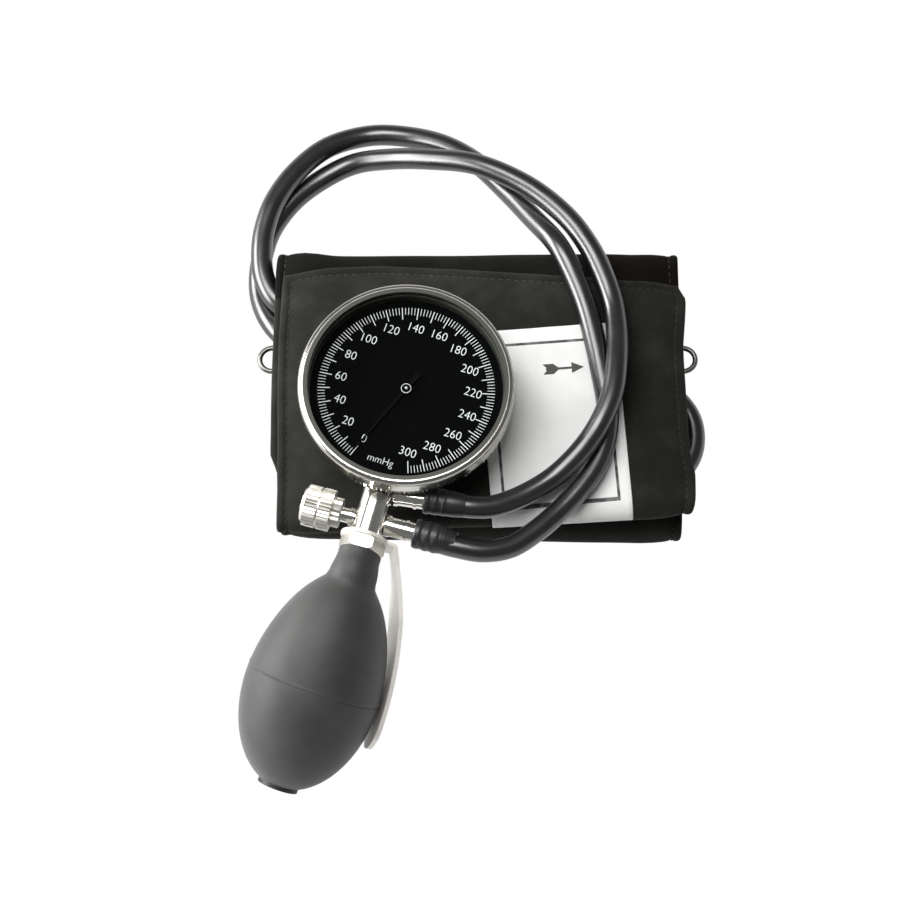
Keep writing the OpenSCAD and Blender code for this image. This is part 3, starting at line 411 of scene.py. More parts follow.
def plastic_finish(name, colour, shade, rough, specular=0.4):
    """Moulded plastic or enamel: even colour with a faint orange-peel surface."""
    material, tree = new_finish(name)
    tone = add_node(tree, "ValToRGB", {"Fac": patches(tree, 9)},
                    [(0.3, linear(shade)), (0.7, linear(colour))])
    peel = patches(tree, PEEL_GRAIN, 2.0)
    return close_finish(material, peel, 0.08, 0.02, Base_Color=tone, Roughness=rough,
                        Specular_IOR_Level=specular)


def glass_finish(name):
    """Clear window glass with a coating that cuts reflections: a mirror only where it is seen at a slant."""
    material, tree = new_finish(name)
    clear = add_node(tree, "BsdfTransparent", {"Color": linear("#fafcfc")})
    gloss = add_node(tree, "BsdfGlossy", {"Color": grey(0.9), "Roughness": 0.03})
    slant = add_node(tree, "Fresnel", {"IOR": 1.06})
    edge = add_node(tree, "Math", {0: slant, 1: 0.12}, operation="MINIMUM")
    both = add_node(tree, "MixShader", {0: edge, 1: clear, 2: gloss})
    add_node(tree, "OutputMaterial", {"Surface": both})
    return material


def frame_side(tree, value, other, middle, other_middle):
    """1 on two lines of the label's frame, at plus and minus middle and as long as the frame, or else 0."""
    half_line = FRAME_LINE * MM / 2
    size = add_node(tree, "Math", {0: value}, operation="ABSOLUTE")
    off = add_node(tree, "Math", {0: size, 1: middle}, operation="SUBTRACT")
    away = add_node(tree, "Math", {0: off}, operation="ABSOLUTE")
    on_line = add_node(tree, "Math", {0: away, 1: half_line}, operation="LESS_THAN")
    reach = add_node(tree, "Math", {0: other}, operation="ABSOLUTE")
    inside = add_node(tree, "Math", {0: reach, 1: other_middle + half_line}, operation="LESS_THAN")
    return add_node(tree, "Math", {0: on_line, 1: inside}, operation="MULTIPLY")


def label_finish(name):
    """Coated white cloth with a thin printed frame, set in from the label's edges on its own map."""
    material, tree = new_finish(name)
    weave, across, along = weave_height(tree, 0.45)
    settings = bpy.context.scene.cuff_label
    frame_x = settings.width / 2 - FRAME_IN_X * MM
    frame_y = settings.length / 2 - FRAME_IN_Y * MM
    sides = frame_side(tree, across, along, frame_x, frame_y)
    ends = frame_side(tree, along, across, frame_y, frame_x)
    frame_line = add_node(tree, "Math", {0: sides, 1: ends}, operation="MAXIMUM")
    worn = add_node(tree, "ValToRGB", {"Fac": patches(tree, 3.0)}, [(0.3, grey(0.8)), (0.6, grey(1.0))])
    ink = add_node(tree, "Math", {0: frame_line, 1: worn}, operation="MULTIPLY")
    soil = add_node(tree, "ValToRGB", {"Fac": patches(tree, 26)},
                    [(0.35, linear("#e4e5e3")), (0.6, linear("label"))])
    tone = add_node(tree, "MixRGB", {"Fac": ink, "Color1": soil, "Color2": linear("#3b3b39")})
    return close_finish(material, weave, 0.12, 0.05, Base_Color=tone, Roughness=0.6, Specular_IOR_Level=0.35)


# What each material is and what that gives the eye, with its function and values.
# A colour is sRGB hex, or the name of a colour setting.
FINISH_MAKERS = {
    # Plain-woven cotton, dyed near black: matt, with soft paler patches where it is rubbed. Its real threads
    # are about 0.25 mm apart, too fine to show, so they are drawn twice as coarse.
    # The back fold is painted darker, with less sheen, as the shade under the flap.
    "woven_cotton": (cloth_finish, "#10100f", "cloth", "#2e2d29", 0.5, True),
    # Twisted cotton thread: a little paler than the cloth, so a seam reads as a dotted line.
    "cotton_thread": (cloth_finish, "#1f1f1d", "#2e2e2b", "#3f3e3a", 0.3),
    # White polyester thread round the label: a fine pale dotted line.
    "label_thread": (cloth_finish, "#cfcfca", "#dededa", "#efefec", 0.3),
    # Nylon hook tape: a stiff dark pile with greenish grey tips, painted darker in its hollows as shade.
    "hook_tape": (knit_finish, "#0f100f", "#2a2c29"),
    # Nylon loop tape: a softer, browner pile, painted darker in its hollows as shade.
    "loop_tape": (knit_finish, "#171310", "#3a322b"),
    # Coated cotton label: white with a faint sheen, slightly soiled, and a thin printed frame.
    "coated_label_cloth": (label_finish,),
    # Screen-printed ink on the label: a worn dark grey.
    "printed_ink": (plastic_finish, "#474745", "#3a3a38", 0.6),
    # Extruded hose rubber: black and quite glossy, so long narrow highlights run along it. Its index is
    # above that of plain rubber, for the wax on such a hose.
    "extruded_hose_rubber": (rubber_finish, "hose", "#161618", 0.3, 0.03, 1.9),
    # Moulded rubber sleeves, spouts and valve discs: black, a little duller than the hose.
    "moulded_sleeve_rubber": (rubber_finish, "#1d1d1f", "#2b2c2e", 0.36, 0.12),
    # Moulded bulb rubber: grey black with a dusty bloom, pale where it is seen at a slant.
    "moulded_bulb_rubber": (rubber_finish, "bulb", "#434241", 0.56, 0.08, 1.5, 0.35, 0.3),
    # Latex sheet of the bladder, seen only at the roll's ends: dull grey black.
    "bladder_latex": (rubber_finish, "#1b1b1c", "#2c2c2d", 0.6, 0.2),
    # Polished chrome on brass: a near mirror, slightly warm.
    "polished_chrome": (metal_finish, "#f0efea", "#e2e0da", 0.16, 0.03, 6, 0.03),
    # Chromed bezel, with the dark dial's reflection painted on its inner wall as dull olive: a bright rim
    # with a dull step inside.
    "bezel_chrome": (rim_finish, "#d2d0c9", "#bdbbb3", 0.18, False, 34.1, 34.5),
    # Spun aluminium case, with the dark dial's reflection painted as dull olive beside the dial: soft
    # silver, with a dull top to its wall.
    "case_aluminium": (rim_finish, "#c9cac7", "#b5b6b3", 0.28, True, CUFF_TOP + 18.2, CUFF_TOP + 17.8),
    # Nickelled steel wire of the ring: worn to a soft grey.
    "ring_steel": (metal_finish, "#8e8d8a", "#72716e", 0.34, 0.05, 3, 0.05),
    # Satin nickel on the knob and collar: bright, with blurred reflections.
    "satin_nickel": (metal_finish, "#f0eee8", "#e0ddd5", 0.36, 0.04, 4, 0.05),
    # Pressed spoon with a milky plating: part metal and part lacquer, so it looks nearly white.
    "plated_spoon": (metal_finish, "#fbf7f0", "#f4f0e8", 0.4, 0.04, 4, 0.04, 0.35),
    # Black moulded plastic of the end valve: dark, with soft highlights.
    "black_moulding": (plastic_finish, "#2c2c2d", "#232324", 0.5),
    # Turned aluminium back plate: soft silver.
    "turned_aluminium": (metal_finish, "#c9cac7", "#b5b6b3", 0.28, 0.05),
    # Rolled brass of the movement: warm yellow with darker handling marks.
    "rolled_brass": (metal_finish, "#d4b565", "#b08f45", 0.27, 0.06),
    # Drawn copper of the feed tube: reddish, with clear highlights.
    "drawn_copper": (metal_finish, "#c98b5f", "#a46a42", 0.3, 0.05),
    # Turned steel of screws and arbors: a cool mid grey.
    "turned_steel": (metal_finish, "#b4b6b8", "#94969a", 0.25, 0.05),
    # Spring steel, blued by heat: a deep blue with a metal's highlights.
    "blued_spring_steel": (metal_finish, "#55658c", "#39456b", 0.25, 0.05),
    # Matt black enamel of the dial: it hardly reflects, so the print stands out.
    "dial_enamel": (plastic_finish, "dial", "#040405", 0.6, 0.02),
    # White print of the dial: plain and matt.
    "dial_print": (plastic_finish, "dial_print", "#eaeae8", 0.6, 0.1),
    # Black enamel of the pointer, a shade above the dial's.
    "pointer_enamel": (plastic_finish, "#09090a", "#070708", 0.6, 0.04),
    # Aged rubber gasket under the crystal: olive grey.
    "gasket_rubber": (rubber_finish, "#33352a", "#44463a", 0.45, 0.1),
    # Natural acetal plastic of the valve seats: milky grey.
    "seat_plastic": (plastic_finish, "#c9cac8", "#b9bab8", 0.45),
    # Flat mineral glass of the crystal: clear, with faint reflections at a slant.
    "window_glass": (glass_finish,),
}
FINISHES = {}

CAD_FINISHES = {
    "bezel_chrome": ("bezel_ring",),
    "ring_steel": ("d_ring",),
    "polished_chrome": ("stem_body", "nipple_gauge", "nipple_air", "valve_bush", "case_nut"),
    "satin_nickel": ("valve_knob", "hex_collar", "bulb_spigot"),
    "plated_spoon": ("spoon_grip",),
    "case_aluminium": ("gauge_case",),
    "turned_aluminium": ("case_back",),
    "black_moulding": ("end_valve_body", "end_valve_grille"),
    "rolled_brass": ("movement_base", "movement_top", "base_pillars", "top_pillars", "sector_gear",
                     "capsule", "capsule_socket", "hairspring_stud"),
    "turned_steel": ("back_screws", "plate_screws", "pinion_shaft", "sector_arbor", "rocker_shaft",
                     "capsule_stud", "valve_needle"),
    "blued_spring_steel": ("hairspring",),
    "drawn_copper": ("feed_tube",),
    "window_glass": ("crystal",),
    "gasket_rubber": ("crystal_gasket",),
    "dial_enamel": ("dial",),
    "pointer_enamel": ("pointer",),
    "moulded_sleeve_rubber": ("port_gauge", "port_air", "valve_seal", "outlet_disc", "end_valve_disc"),
    "seat_plastic": ("outlet_seat", "end_valve_cage"),
}


def finish_of(name):
    """The material of that name, made once."""
    if name not in FINISHES:
        maker, *values = FINISH_MAKERS[name]
        FINISHES[name] = maker(name, *values)
    return FINISHES[name]


# Hoses

HOSE_GAUGE_ROUTE = (
    (-12.5, -48.2, 41.9), (-5, -49.4, 41.7), (3, -48.6, 40.5), (13, -44, 38.9), (23, -37.5, 39),
    (32, -29, 41.5), (38, -20.5, 44.1), (42.3, -10, 44.5), (44, 1, 43.1), (44.6, 13, 39.9),
    (43.6, 25, 37), (40.3, 36.5, 36.6), (35.2, 48, 36.5), (27, 60, 35.6), (14, 72.2, 33),
    (-3, 82.2, 28.6), (-19.5, 88, 20.5), (-33, 91.8, 12.5), (-46, 93, 6), (-57.6, 88, 3.75),
    (-68, 79.2, 3.75), (-75.6, 67.5, 3.75), (-78.8, 54.5, 3.75), (-78.8, 43.5, 4), (-75.8, 33.6, 6.7),
    (-70.7, 26, 9), (-63.6, 21, 9), (-54.8, 18, 9), (-38, 13.2, 9), (-10, 8.8, 9),
    (18, 7.1, 9), (41, 7, 9), (53, 7, 9), (64.2, 3.4, 9), (71.1, -6.1, 9),
    (71.1, -17.9, 9), (64.2, -27.4, 9), (53, -31, 9), (41.5, -31, 9), (32, -31, 9),
)
HOSE_AIR_ROUTE = (
    (-17.5, -61.2, 41.9), (-9.8, -63.4, 41.7), (-1, -64.6, 40.8), (8, -62.6, 39.3), (16, -57, 37.9),
    (24, -49.5, 36.7), (31.5, -41, 36.5), (37.3, -32, 36.4), (40.5, -22, 36.4), (41, -11, 36.4),
    (39.2, 1, 36.4), (37, 13, 36.4), (34.2, 25, 36.4), (30.2, 36.5, 36.4), (24.7, 48.3, 36.1),
    (16.6, 61.2, 29.4), (7.6, 75.2, 22), (-2.4, 88, 16.6), (-14, 97.3, 12), (-27, 103.1, 7),
    (-41, 104.6, 4.8), (-55.4, 99, 7.2), (-66.2, 88.4, 9.9), (-73.6, 76.4, 11.6), (-77.2, 65, 12),
    (-78, 55, 12.6), (-77, 46, 13), (-73.2, 38, 13), (-67, 33, 12), (-59, 31, 10.3),
    (-48, 31, 9.1), (-30, 31, 9), (-8, 31, 9), (16, 31, 9),
)
HOSE_SIDES = 24
HOSE_STEPS = 7


def smooth_route(points, steps):
    """Cubic through the points: at each of them, the slope is half the chord between its neighbours."""
    p = np.array(points, float)
    before = np.vstack([2 * p[:1] - p[1:2], p[:-2]])
    after = np.vstack([p[2:], 2 * p[-1:] - p[-2:-1]])
    start, end = p[:-1], p[1:]
    slope_start, slope_end = (end - before) / 2, (after - start) / 2
    t = (np.arange(steps) / steps)[:, None, None]
    line = ((2 * t**3 - 3 * t**2 + 1) * start + (t**3 - 2 * t**2 + t) * slope_start
            + (3 * t**2 - 2 * t**3) * end + (t**3 - t**2) * slope_end)
    return np.vstack([line.transpose(1, 0, 2).reshape(-1, 3), p[-1:]])


def swept_rings(line, radius, sides):
    """Rings of that radius square to a line. Their first axis is level, so the rings don't twist."""
    heading = unit(np.gradient(line, axis=0))
    level = unit(np.cross(heading, [0, 0, 1.0]))
    rise = np.cross(level, heading)
    angle = np.linspace(0, 2 * math.pi, sides, endpoint=False)[:, None]
    return line[:, None] + radius * (np.cos(angle) * level[:, None] + np.sin(angle) * rise[:, None])


def map_round(line, sides, radius):
    """A map for a tube: across is the way round, along is the length from its start, both in metres."""
    across = np.linspace(0, 2 * math.pi * radius, sides + 1)
    return np.stack(np.meshgrid(across, distances(line)), -1)


def build_hose(name, node, route):
    """A limp rubber hose along its route, from its sleeve on the stem to its port on the bladder."""
    settings = bpy.context.scene.cuff_hoses
    line = smooth_route(route, HOSE_STEPS) * MM
    radius = settings.diameter / 2
    points = swept_rings(line, radius, HOSE_SIDES)
    hose = grid_piece(name, points, finish_of("extruded_hose_rubber"), wrap_columns=True,
                      uv=map_round(line, HOSE_SIDES, radius), caps=True, slot="hose_rubber")
    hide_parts(node)


# Cuff

CUFF_WIDTH = 140.0
MID_Z, LOW_Z, HIGH_Z, TOP_Z = 15.5, 2.5, 22.9, 30.1
LOW_FRONT_Y, TOP_FRONT_Y, BACK_FOLD_Y = -42.25, -47.15, 40.55
# The cloth's middle line, from the D-ring end to the flap's end. A flat layer gives its two ends along Y,
# its height, and 1 where its first face looks up. A turn gives its middle, its radius, and the angles at its
# ends with 1 where its first face looks away from the middle.
CUFF_RUNS = (
    ("flat", 7.0, LOW_FRONT_Y, MID_Z, 1),
    ("turn", LOW_FRONT_Y, 9.0, 6.5, (90, 270, 1)),
    ("flat", LOW_FRONT_Y, BACK_FOLD_Y, LOW_Z, -1),
    ("turn", BACK_FOLD_Y, 12.7, 10.2, (-90, 90, 1)),
    ("flat", BACK_FOLD_Y, TOP_FRONT_Y, HIGH_Z, 1),
    ("turn", TOP_FRONT_Y, 26.5, 3.6, (270, 90, -1)),
    ("flat", TOP_FRONT_Y, 41.0, TOP_Z, -1),
)


def run_length(run):
    """Length of one flat or turned run."""
    if run[0] == "flat":
        return abs(run[2] - run[1])
    return math.pi * run[3]


RUN_STARTS = np.concatenate([[0], np.cumsum([run_length(run) for run in CUFF_RUNS])])
CUFF_LENGTH = float(RUN_STARTS[-1])
TOP_START = float(RUN_STARTS[6])
# Painted shade lies over the back fold, under the flap's edge, and brown tape binds it from TAPE_START
# across
FOLD_SHADE_START, FOLD_SHADE_END, TAPE_START = float(RUN_STARTS[3]) + 12, float(RUN_STARTS[4]) + 9, 33.0
# Half the cloth's thickness at distances in from an edge: rolled hem, stitch line, padding
HEM_IN = (0, 0.2, 0.6, 1.3, 2.2, 2.7, 3.1, 3.6, 4.6, 6.5, 9.5, 14)
HEM_HALF = (0, 0.5, 0.8, 0.98, 0.9, 0.62, 0.5, 0.7, 1.1, 1.55, 2.15, 2.5)
# X of the left and right edges at distances along the cloth
EDGE_PLACES = np.concatenate([RUN_STARTS[:5], RUN_STARTS[5] - np.array([24, 18, 0]), RUN_STARTS[6:7],
                              TOP_START + np.array([-38, -30, -20, -5, 16, 26, 36]) - TOP_FRONT_Y,
                              RUN_STARTS[7:]])
LEFT_EDGE = (-69.4, -69.6, -69.8, -70.6, -72.4, -73.4, -71.0, -70.2, -70.2,
             -70.2, -70.3, -70.4, -70.5, -70.4, -70.2, -70.0, -69.6)
RIGHT_EDGE = (66.3, 66.6, 66.8, 67.2, 67.2, 67.8, 68.2, 69.0, 70.6,
              70.8, 69.4, 68.6, 67.8, 67.7, 68.3, 68.9, 66.4)
# How far the flap's end lies from straight, at places across it
FLAP_X = (-70, -53, -36, -10, 15, 40, 68)
FLAP_OFF = (-0.4, 1.6, 2.3, 1.0, -0.6, -2.3, -4.4)
# How far the side edges sag, at the ends of the runs
EDGE_SAG = (1.5, 1.3, 1.45, 1.45, 0.9, 0.9, 1.5, 1.7)
END_SAG = 1.1
# The top cloth is pressed flat within this distance of the gauge's middle, and under the label
GAUGE_PRESS = 44.0
LABEL_MIDDLE = (23, -15)
LABEL_PRESS_Y = 38.0
STITCH_IN = 3.1
STITCH_PITCH = 2.7
STITCH_LENGTH, STITCH_RADIUS = 1.9, 0.26
THREAD_SIDES = 6


def fold_line(s):
    """The middle line at distance s: y, z, and the unit normal on the cloth's first face."""
    y, z, ny, nz = (np.zeros_like(s) for _ in range(4))
    for start, run in zip(RUN_STARTS, CUFF_RUNS):
        length = run_length(run)
        here = (s >= start - 1e-9) & (s <= start + length + 1e-9)
        t = s[here] - start
        if run[0] == "flat":
            y[here] = run[1] + np.sign(run[2] - run[1]) * t
            z[here] = run[3]
            ny[here] = 0
            nz[here] = run[4]
        else:
            first, last, side = run[4]
            a = np.radians(first + (last - first) * t / length)
            y[here] = run[1] + run[3] * np.cos(a)
            z[here] = run[2] + run[3] * np.sin(a)
            ny[here] = side * np.cos(a)
            nz[here] = side * np.sin(a)
    return y, z, ny, nz


def cuff_edges(s):
    """Left and right edges of the cloth at distance s: the layers don't lie quite on each other."""
    left = np.interp(s, EDGE_PLACES, LEFT_EDGE) + 0.3 * np.sin(s / 13.0 + 1.0) * np.sin(s / 31.0)
    right = np.interp(s, EDGE_PLACES, RIGHT_EDGE) + 0.35 * np.sin(s / 9.0) * np.sin(s / 21.0 + 2.0)
    return left, right


def askew(x, s):
    """How far the cloth's folds and end lie along Y from straight, at x across and s along the cloth. The
    amount is set at the start, the end and each fold, and eased between."""
    flap = np.interp(x, FLAP_X, FLAP_OFF) + 0.25 * np.sin(x / 4.3) * ease((x - 30) / 20)
    high_front = np.interp(x, (-70, 70), (-1.0, 5.6))
    low_front = np.interp(x, (-70, 66), (2.4, 0.3))
    back = 0.6 + 0.3 * np.sin(x / 19.0) + 1.7 * ease((np.abs(x) - 50) / 18)
    between = 0.5 * low_front + 0.5 * back
    amounts = (0 * x, low_front, low_front, between, back, back, high_front, high_front, flap)
    places = (*RUN_STARTS[:3], (RUN_STARTS[2] + RUN_STARTS[3]) / 2, *RUN_STARTS[3:])
    total = np.zeros(np.broadcast(x, s).shape)
    for i in range(len(places) - 1):
        here = (s >= places[i]) & (s < places[i + 1] + (i == len(places) - 2))
        part = ease((s - places[i]) / (places[i + 1] - places[i]))
        total = total + here * (amounts[i] * (1 - part) + amounts[i + 1] * part)
    return total


def top_dip(x, y):
    """How far the top cloth lies below its highest level: soft hollows, flat under the gauge and label."""
    hollows = 0.5 + 0.5 * wave_field(x, y, (95, 62, 48, 37, 30), SEED)
    wrinkle = np.abs(wave_field(x, y, (23, 17, 14), SEED + 1))
    near_gauge = ease((GAUGE_PRESS - np.hypot(x - GAUGE_PLACE[0], y - GAUGE_PLACE[1])) / 12)
    label_x = bpy.context.scene.cuff_label.width / 2 / MM + 4
    on_label = ease((label_x - np.abs(x - LABEL_MIDDLE[0])) / 6)
    on_label = on_label * ease((LABEL_PRESS_Y - np.abs(y - LABEL_MIDDLE[1])) / 6)
    calm = np.maximum(near_gauge, 0.85 * on_label)
    free = 0.08 + 0.95 * hollows + 0.35 * wrinkle
    return free * (1 - calm) + calm * 0.12 + 0.42 * on_label


def cuff_face(s, share, side):
    """The cloth's first face where side is 1, or its second where side is -1, at s along the cloth and a
    share across it, from 0 at the left edge to 1. The middle line is pushed out along its normal by half
    the padding, which thins to a hem at every edge."""
    y, z, ny, nz = fold_line(s)
    left, right = cuff_edges(s)
    x = left + (right - left) * share
    across = np.minimum(share, 1 - share) * (right - left)
    inset = np.minimum(across, np.minimum(s, CUFF_LENGTH - s))
    half = np.interp(inset, HEM_IN, HEM_HALF)
    inward = np.clip((inset - 3) / 8, 0, 1)
    # Hems pucker between the stitches
    gathers = np.sin(2 * math.pi * s / (2 * STITCH_PITCH) + 2 * np.sin(s / 17))
    pucker = 0.13 * gathers * np.exp(-((across - 4.5) / 3.0) ** 2)
    rough = 0.28 * wave_field(s, x, (41, 29, 19, 13), SEED + 2)
    on_top = ease((s - TOP_START + 4) / 8) * (side < 0)
    dip = top_dip(x, y) * on_top + (0.35 + rough) * (1 - on_top)
    dip = np.clip(dip, 0.0, None) * inward
    out = side * (half + pucker * np.clip(across / 2, 0, 1) - dip)
    # The edges of the upper layers sag unevenly, and the end of the flap sags
    wavy = 1 + 0.45 * np.sin(s / 9.0 + 0.6) * np.sin(s / 23.0 + 1.3) * (np.abs(nz) > 0.9) * (z > 10)
    sag = np.interp(s, RUN_STARTS, EDGE_SAG) * wavy * ease((13 - across) / 13) * np.abs(nz)
    end_sag = END_SAG * ease((12 - (CUFF_LENGTH - s)) / 12)
    return np.stack([x, y + ny * out + askew(x, s), z + nz * out - sag - end_sag], -1)


def build_cuff_cloth():
    """The folded, padded cuff: two faces of one cloth that meet at a rolled hem, round all four edges. Its
    map runs on from the first face to the second, so the weave follows the cloth."""
    settings = bpy.context.scene.cuff_cloth
    columns = edged_steps(0.0, 1.0, np.array(HEM_IN) / CUFF_WIDTH, settings.columns)
    row_count = int((CUFF_LENGTH - 2 * HEM_IN[-1]) / (settings.row_step / MM))
    rows = edged_steps(0.0, CUFF_LENGTH, HEM_IN, row_count)
    s, share = np.meshgrid(rows, columns, indexing="ij")
    back = cuff_face(s, share, -1)
    loop = np.concatenate([cuff_face(s, share, 1), back[:, -2:0:-1]], axis=1) * MM
    left, right = cuff_edges(s)
    x = left + (right - left) * share
    return_x = 2 * x[:, -1:] - x
    map_x = np.concatenate([x, return_x[:, -2:0:-1], return_x[:, :1]], axis=1)
    map_s = np.repeat(rows[:, None], map_x.shape[1], 1)
    cloth = grid_piece("cuff_cloth", loop, finish_of("woven_cotton"), wrap_columns=True,
                       uv=np.stack([map_x, map_s], -1) * MM, slot="cuff_cloth", weld=True)
    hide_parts("cuff_wrap")


def thread_shape():
    """A short thread along X with tapered ends, 1 long and 1 in radius: its points and its faces."""
    along = np.array([-0.5, -0.42, -0.2, 0.2, 0.42, 0.5])
    radius = np.array([0.15, 0.75, 1.0, 1.0, 0.75, 0.15])
    angle = np.linspace(0, 2 * math.pi, THREAD_SIDES, endpoint=False)
    points = np.stack([np.repeat(along[:, None], THREAD_SIDES, 1), np.outer(radius, np.cos(angle)),
                       np.outer(radius, np.sin(angle))], -1).reshape(-1, 3)
    ring = list(range(THREAD_SIDES))
    faces = surface_faces(len(along), THREAD_SIDES, wrap_columns=True)[:, ::-1].tolist()
    faces += [ring[::-1], [i + len(points) - THREAD_SIDES for i in ring]]
    return points, faces


def build_threads(name, middles, headings, normals, length, radius, material, **rest):
    """Many stitches, all sizes in millimetres: the thread shape laid along each heading, half sunk in the
    cloth. Heading, sideways and lift make a right-handed set, so the faces stay turned outwards."""
    shape, faces = thread_shape()
    sideways = unit(np.cross(normals, headings))
    lift = np.cross(headings, sideways)
    points = (middles[:, None] + length * shape[:, 0:1] * headings[:, None]
              + radius * shape[:, 1:2] * sideways[:, None] + radius * shape[:, 2:3] * lift[:, None])
    all_faces = [[i + start for i in face] for start in range(0, points.shape[0] * len(shape), len(shape))
                 for face in faces]
    return make_piece(name, points.reshape(-1, 3) * MM, all_faces, finish_of(material), **rest)


def stitch_places(s, share, side, runs_across):
    """Middles, headings and normals of stitches on one face of the cloth, along it or across it."""
    here = cuff_face(s, share, side)
    heading = cuff_face(s + 0.4, share, side) - here
    other = cuff_face(s, share + 0.003, side) - here
    if runs_across:
        heading, other = other, heading
    return here, unit(heading), unit(np.cross(heading, other))


def build_cuff_stitches():
    """A run of stitches in from both side hems and from both ends, on both faces of the cloth."""
    along = np.arange(STITCH_IN, CUFF_LENGTH - STITCH_IN, STITCH_PITCH)
    across = np.arange(2 * STITCH_IN, CUFF_WIDTH - 2 * STITCH_IN, STITCH_PITCH) / CUFF_WIDTH
    in_share = STITCH_IN / CUFF_WIDTH
    places = []
    for side in (1, -1):
        for share in (in_share, 1 - in_share):
            places.append(stitch_places(along, np.full_like(along, share), side, False))
        for s in (CUFF_LENGTH - STITCH_IN, STITCH_IN):
            places.append(stitch_places(np.full_like(across, s), across, side, True))
    middles, headings, normals = (np.vstack(part) for part in zip(*places))
    build_threads("cuff_stitches", middles, headings, normals, STITCH_LENGTH, STITCH_RADIUS, "cotton_thread",
                  slot="cuff_cloth")


# Label

# The label's corner on the front fold, its turn, and how far it runs on over the fold
LABEL_CORNER = np.array([1.9, -47.1])
LABEL_TURN = 4.5
LABEL_OVER = 4.8
LABEL_LIFT, LABEL_THICK, LABEL_CURL = 0.02, 0.28, 0.1
LABEL_EDGES = (0, 0.25)
FRAME_IN_X, FRAME_IN_Y, FRAME_LINE = 4.4, 5.7, 0.95
INK_LOW, INK_HIGH = 0.27, 0.34
ARROW_TAIL, ARROW_HEAD, ARROW_FROM_END = -2.2, 11.8, 15.6
LABEL_STITCH_IN, LABEL_STITCH_PITCH, LABEL_STITCH_LIFT = 1.2, 2.3, 0.3
LABEL_STITCH_LENGTH, LABEL_STITCH_RADIUS = 1.6, 0.15


def on_top_cloth(x, y, lift):
    """Points on the top cloth under the flat places x and y, raised by lift along the cloth's own normal.
    Where y is past the front fold the point follows the cloth round it."""
    s = TOP_START + y - TOP_FRONT_Y
    for _ in range(3):
        s = TOP_START + y - askew(x, s) - TOP_FRONT_Y

    def place(at_x, at_s):
        """The top face at x across and s along."""
        left, right = cuff_edges(at_s)
        return cuff_face(at_s, (at_x - left) / (right - left), -1)

    here = place(x, s)
    normal = unit(np.cross(place(x + 0.3, s) - here, place(x, s + 0.3) - here))
    return here + normal * np.asarray(lift)[..., None]


def label_half():
    """Half the label's width and length, in millimetres."""
    label = bpy.context.scene.cuff_label
    return label.width / 2 / MM, label.length / 2 / MM


def label_points(across, along, lift):
    """Places on the label, from its middle, laid on the top cloth and raised by lift."""
    half_w, half_l = label_half()
    local = np.stack([across + half_w, along + half_l - LABEL_OVER, 0 * across], -1)
    flat = local @ turn_z(LABEL_TURN).T
    return on_top_cloth(flat[..., 0] + LABEL_CORNER[0], flat[..., 1] + LABEL_CORNER[1], lift)


def build_label_sheet():
    """The label's thin coated sheet, whose edges curl up a little."""
    half_w, half_l = label_half()
    across, along = np.meshgrid(edged_steps(-half_w, half_w, LABEL_EDGES, 34),
                                edged_steps(-half_l, half_l, LABEL_EDGES, 60), indexing="ij")
    past = np.maximum(np.abs(across) - half_w, np.abs(along) - half_l)
    low = LABEL_LIFT + LABEL_CURL * ease((past + 6) / 6)
    upper = label_points(across, along, low + LABEL_THICK * (past < 0))
    lower = label_points(across, along, low)
    piece = slab_piece("cuff_label", upper, lower, finish_of("coated_label_cloth"),
                       flat=np.stack([across, along], -1), slot="label_cloth")
    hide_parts("label_patch")
    return piece


def build_label_arrow():
    """A plain arrow, as a film of ink on the label: shaft, head and two tail barbs."""
    tail, head = ARROW_TAIL, ARROW_HEAD
    barb = [(tail, -1.9), (tail + 3.6, -1.9), (tail + 5.4, -0.3), (tail + 1.5, -0.3)]
    shapes = ([(tail + 1.0, -0.4), (head - 4.0, -0.4), (head - 4.0, 0.4), (tail + 1.0, 0.4)],
              [(head - 4.2, -2.0), (head, 0), (head - 4.2, 2.0)],
              barb, [(x, -y) for x, y in barb[::-1]])
    flat = np.array(sum(shapes, []), float)
    along = flat[:, 1] + label_half()[1] - ARROW_FROM_END
    verts = np.vstack([label_points(flat[:, 0], along, lift) for lift in (INK_HIGH, INK_LOW)]) * MM
    count = len(flat)
    faces, start = [], 0
    for shape in shapes:
        ring = list(range(start, start + len(shape)))
        faces += [ring, [i + count for i in ring][::-1]]
        faces += [[a, a + count, b + count, b] for a, b in zip(ring, ring[1:] + ring[:1])]
        start += len(shape)
    return make_piece("label_arrow", verts, faces, finish_of("printed_ink"), slot="label_cloth",
                      smooth=False)


def build_label_stitches():
    """A run of stitches round the label, in from its edge."""
    half_w, half_l = label_half()
    middles, headings = [], []
    for half, edge, order in ((half_w, half_l - LABEL_STITCH_IN, 1), (half_l, half_w - LABEL_STITCH_IN, -1)):
        run = np.arange(2 - half, half - 1.5, LABEL_STITCH_PITCH)
        for line in (np.full_like(run, edge), np.full_like(run, -edge)):
            here = label_points(*(run, line)[::order], LABEL_STITCH_LIFT)
            ahead = label_points(*(run + 0.3, line)[::order], LABEL_STITCH_LIFT)
            middles.append(here)
            headings.append(unit(ahead - here))
    middles, headings = np.vstack(middles), np.vstack(headings)
    up = np.tile([0, 0, 1.0], (len(middles), 1))
    return build_threads("label_stitches", middles, headings, up, LABEL_STITCH_LENGTH, LABEL_STITCH_RADIUS,
                         "label_thread", slot="label_cloth")


def build_label():
    """The sewn label: its sheet, its printed arrow and its stitches."""
    piece = build_label_sheet()
    arrow = build_label_arrow()
    sewing = build_label_stitches()


# Hook and loop tapes, bladder, ring loop

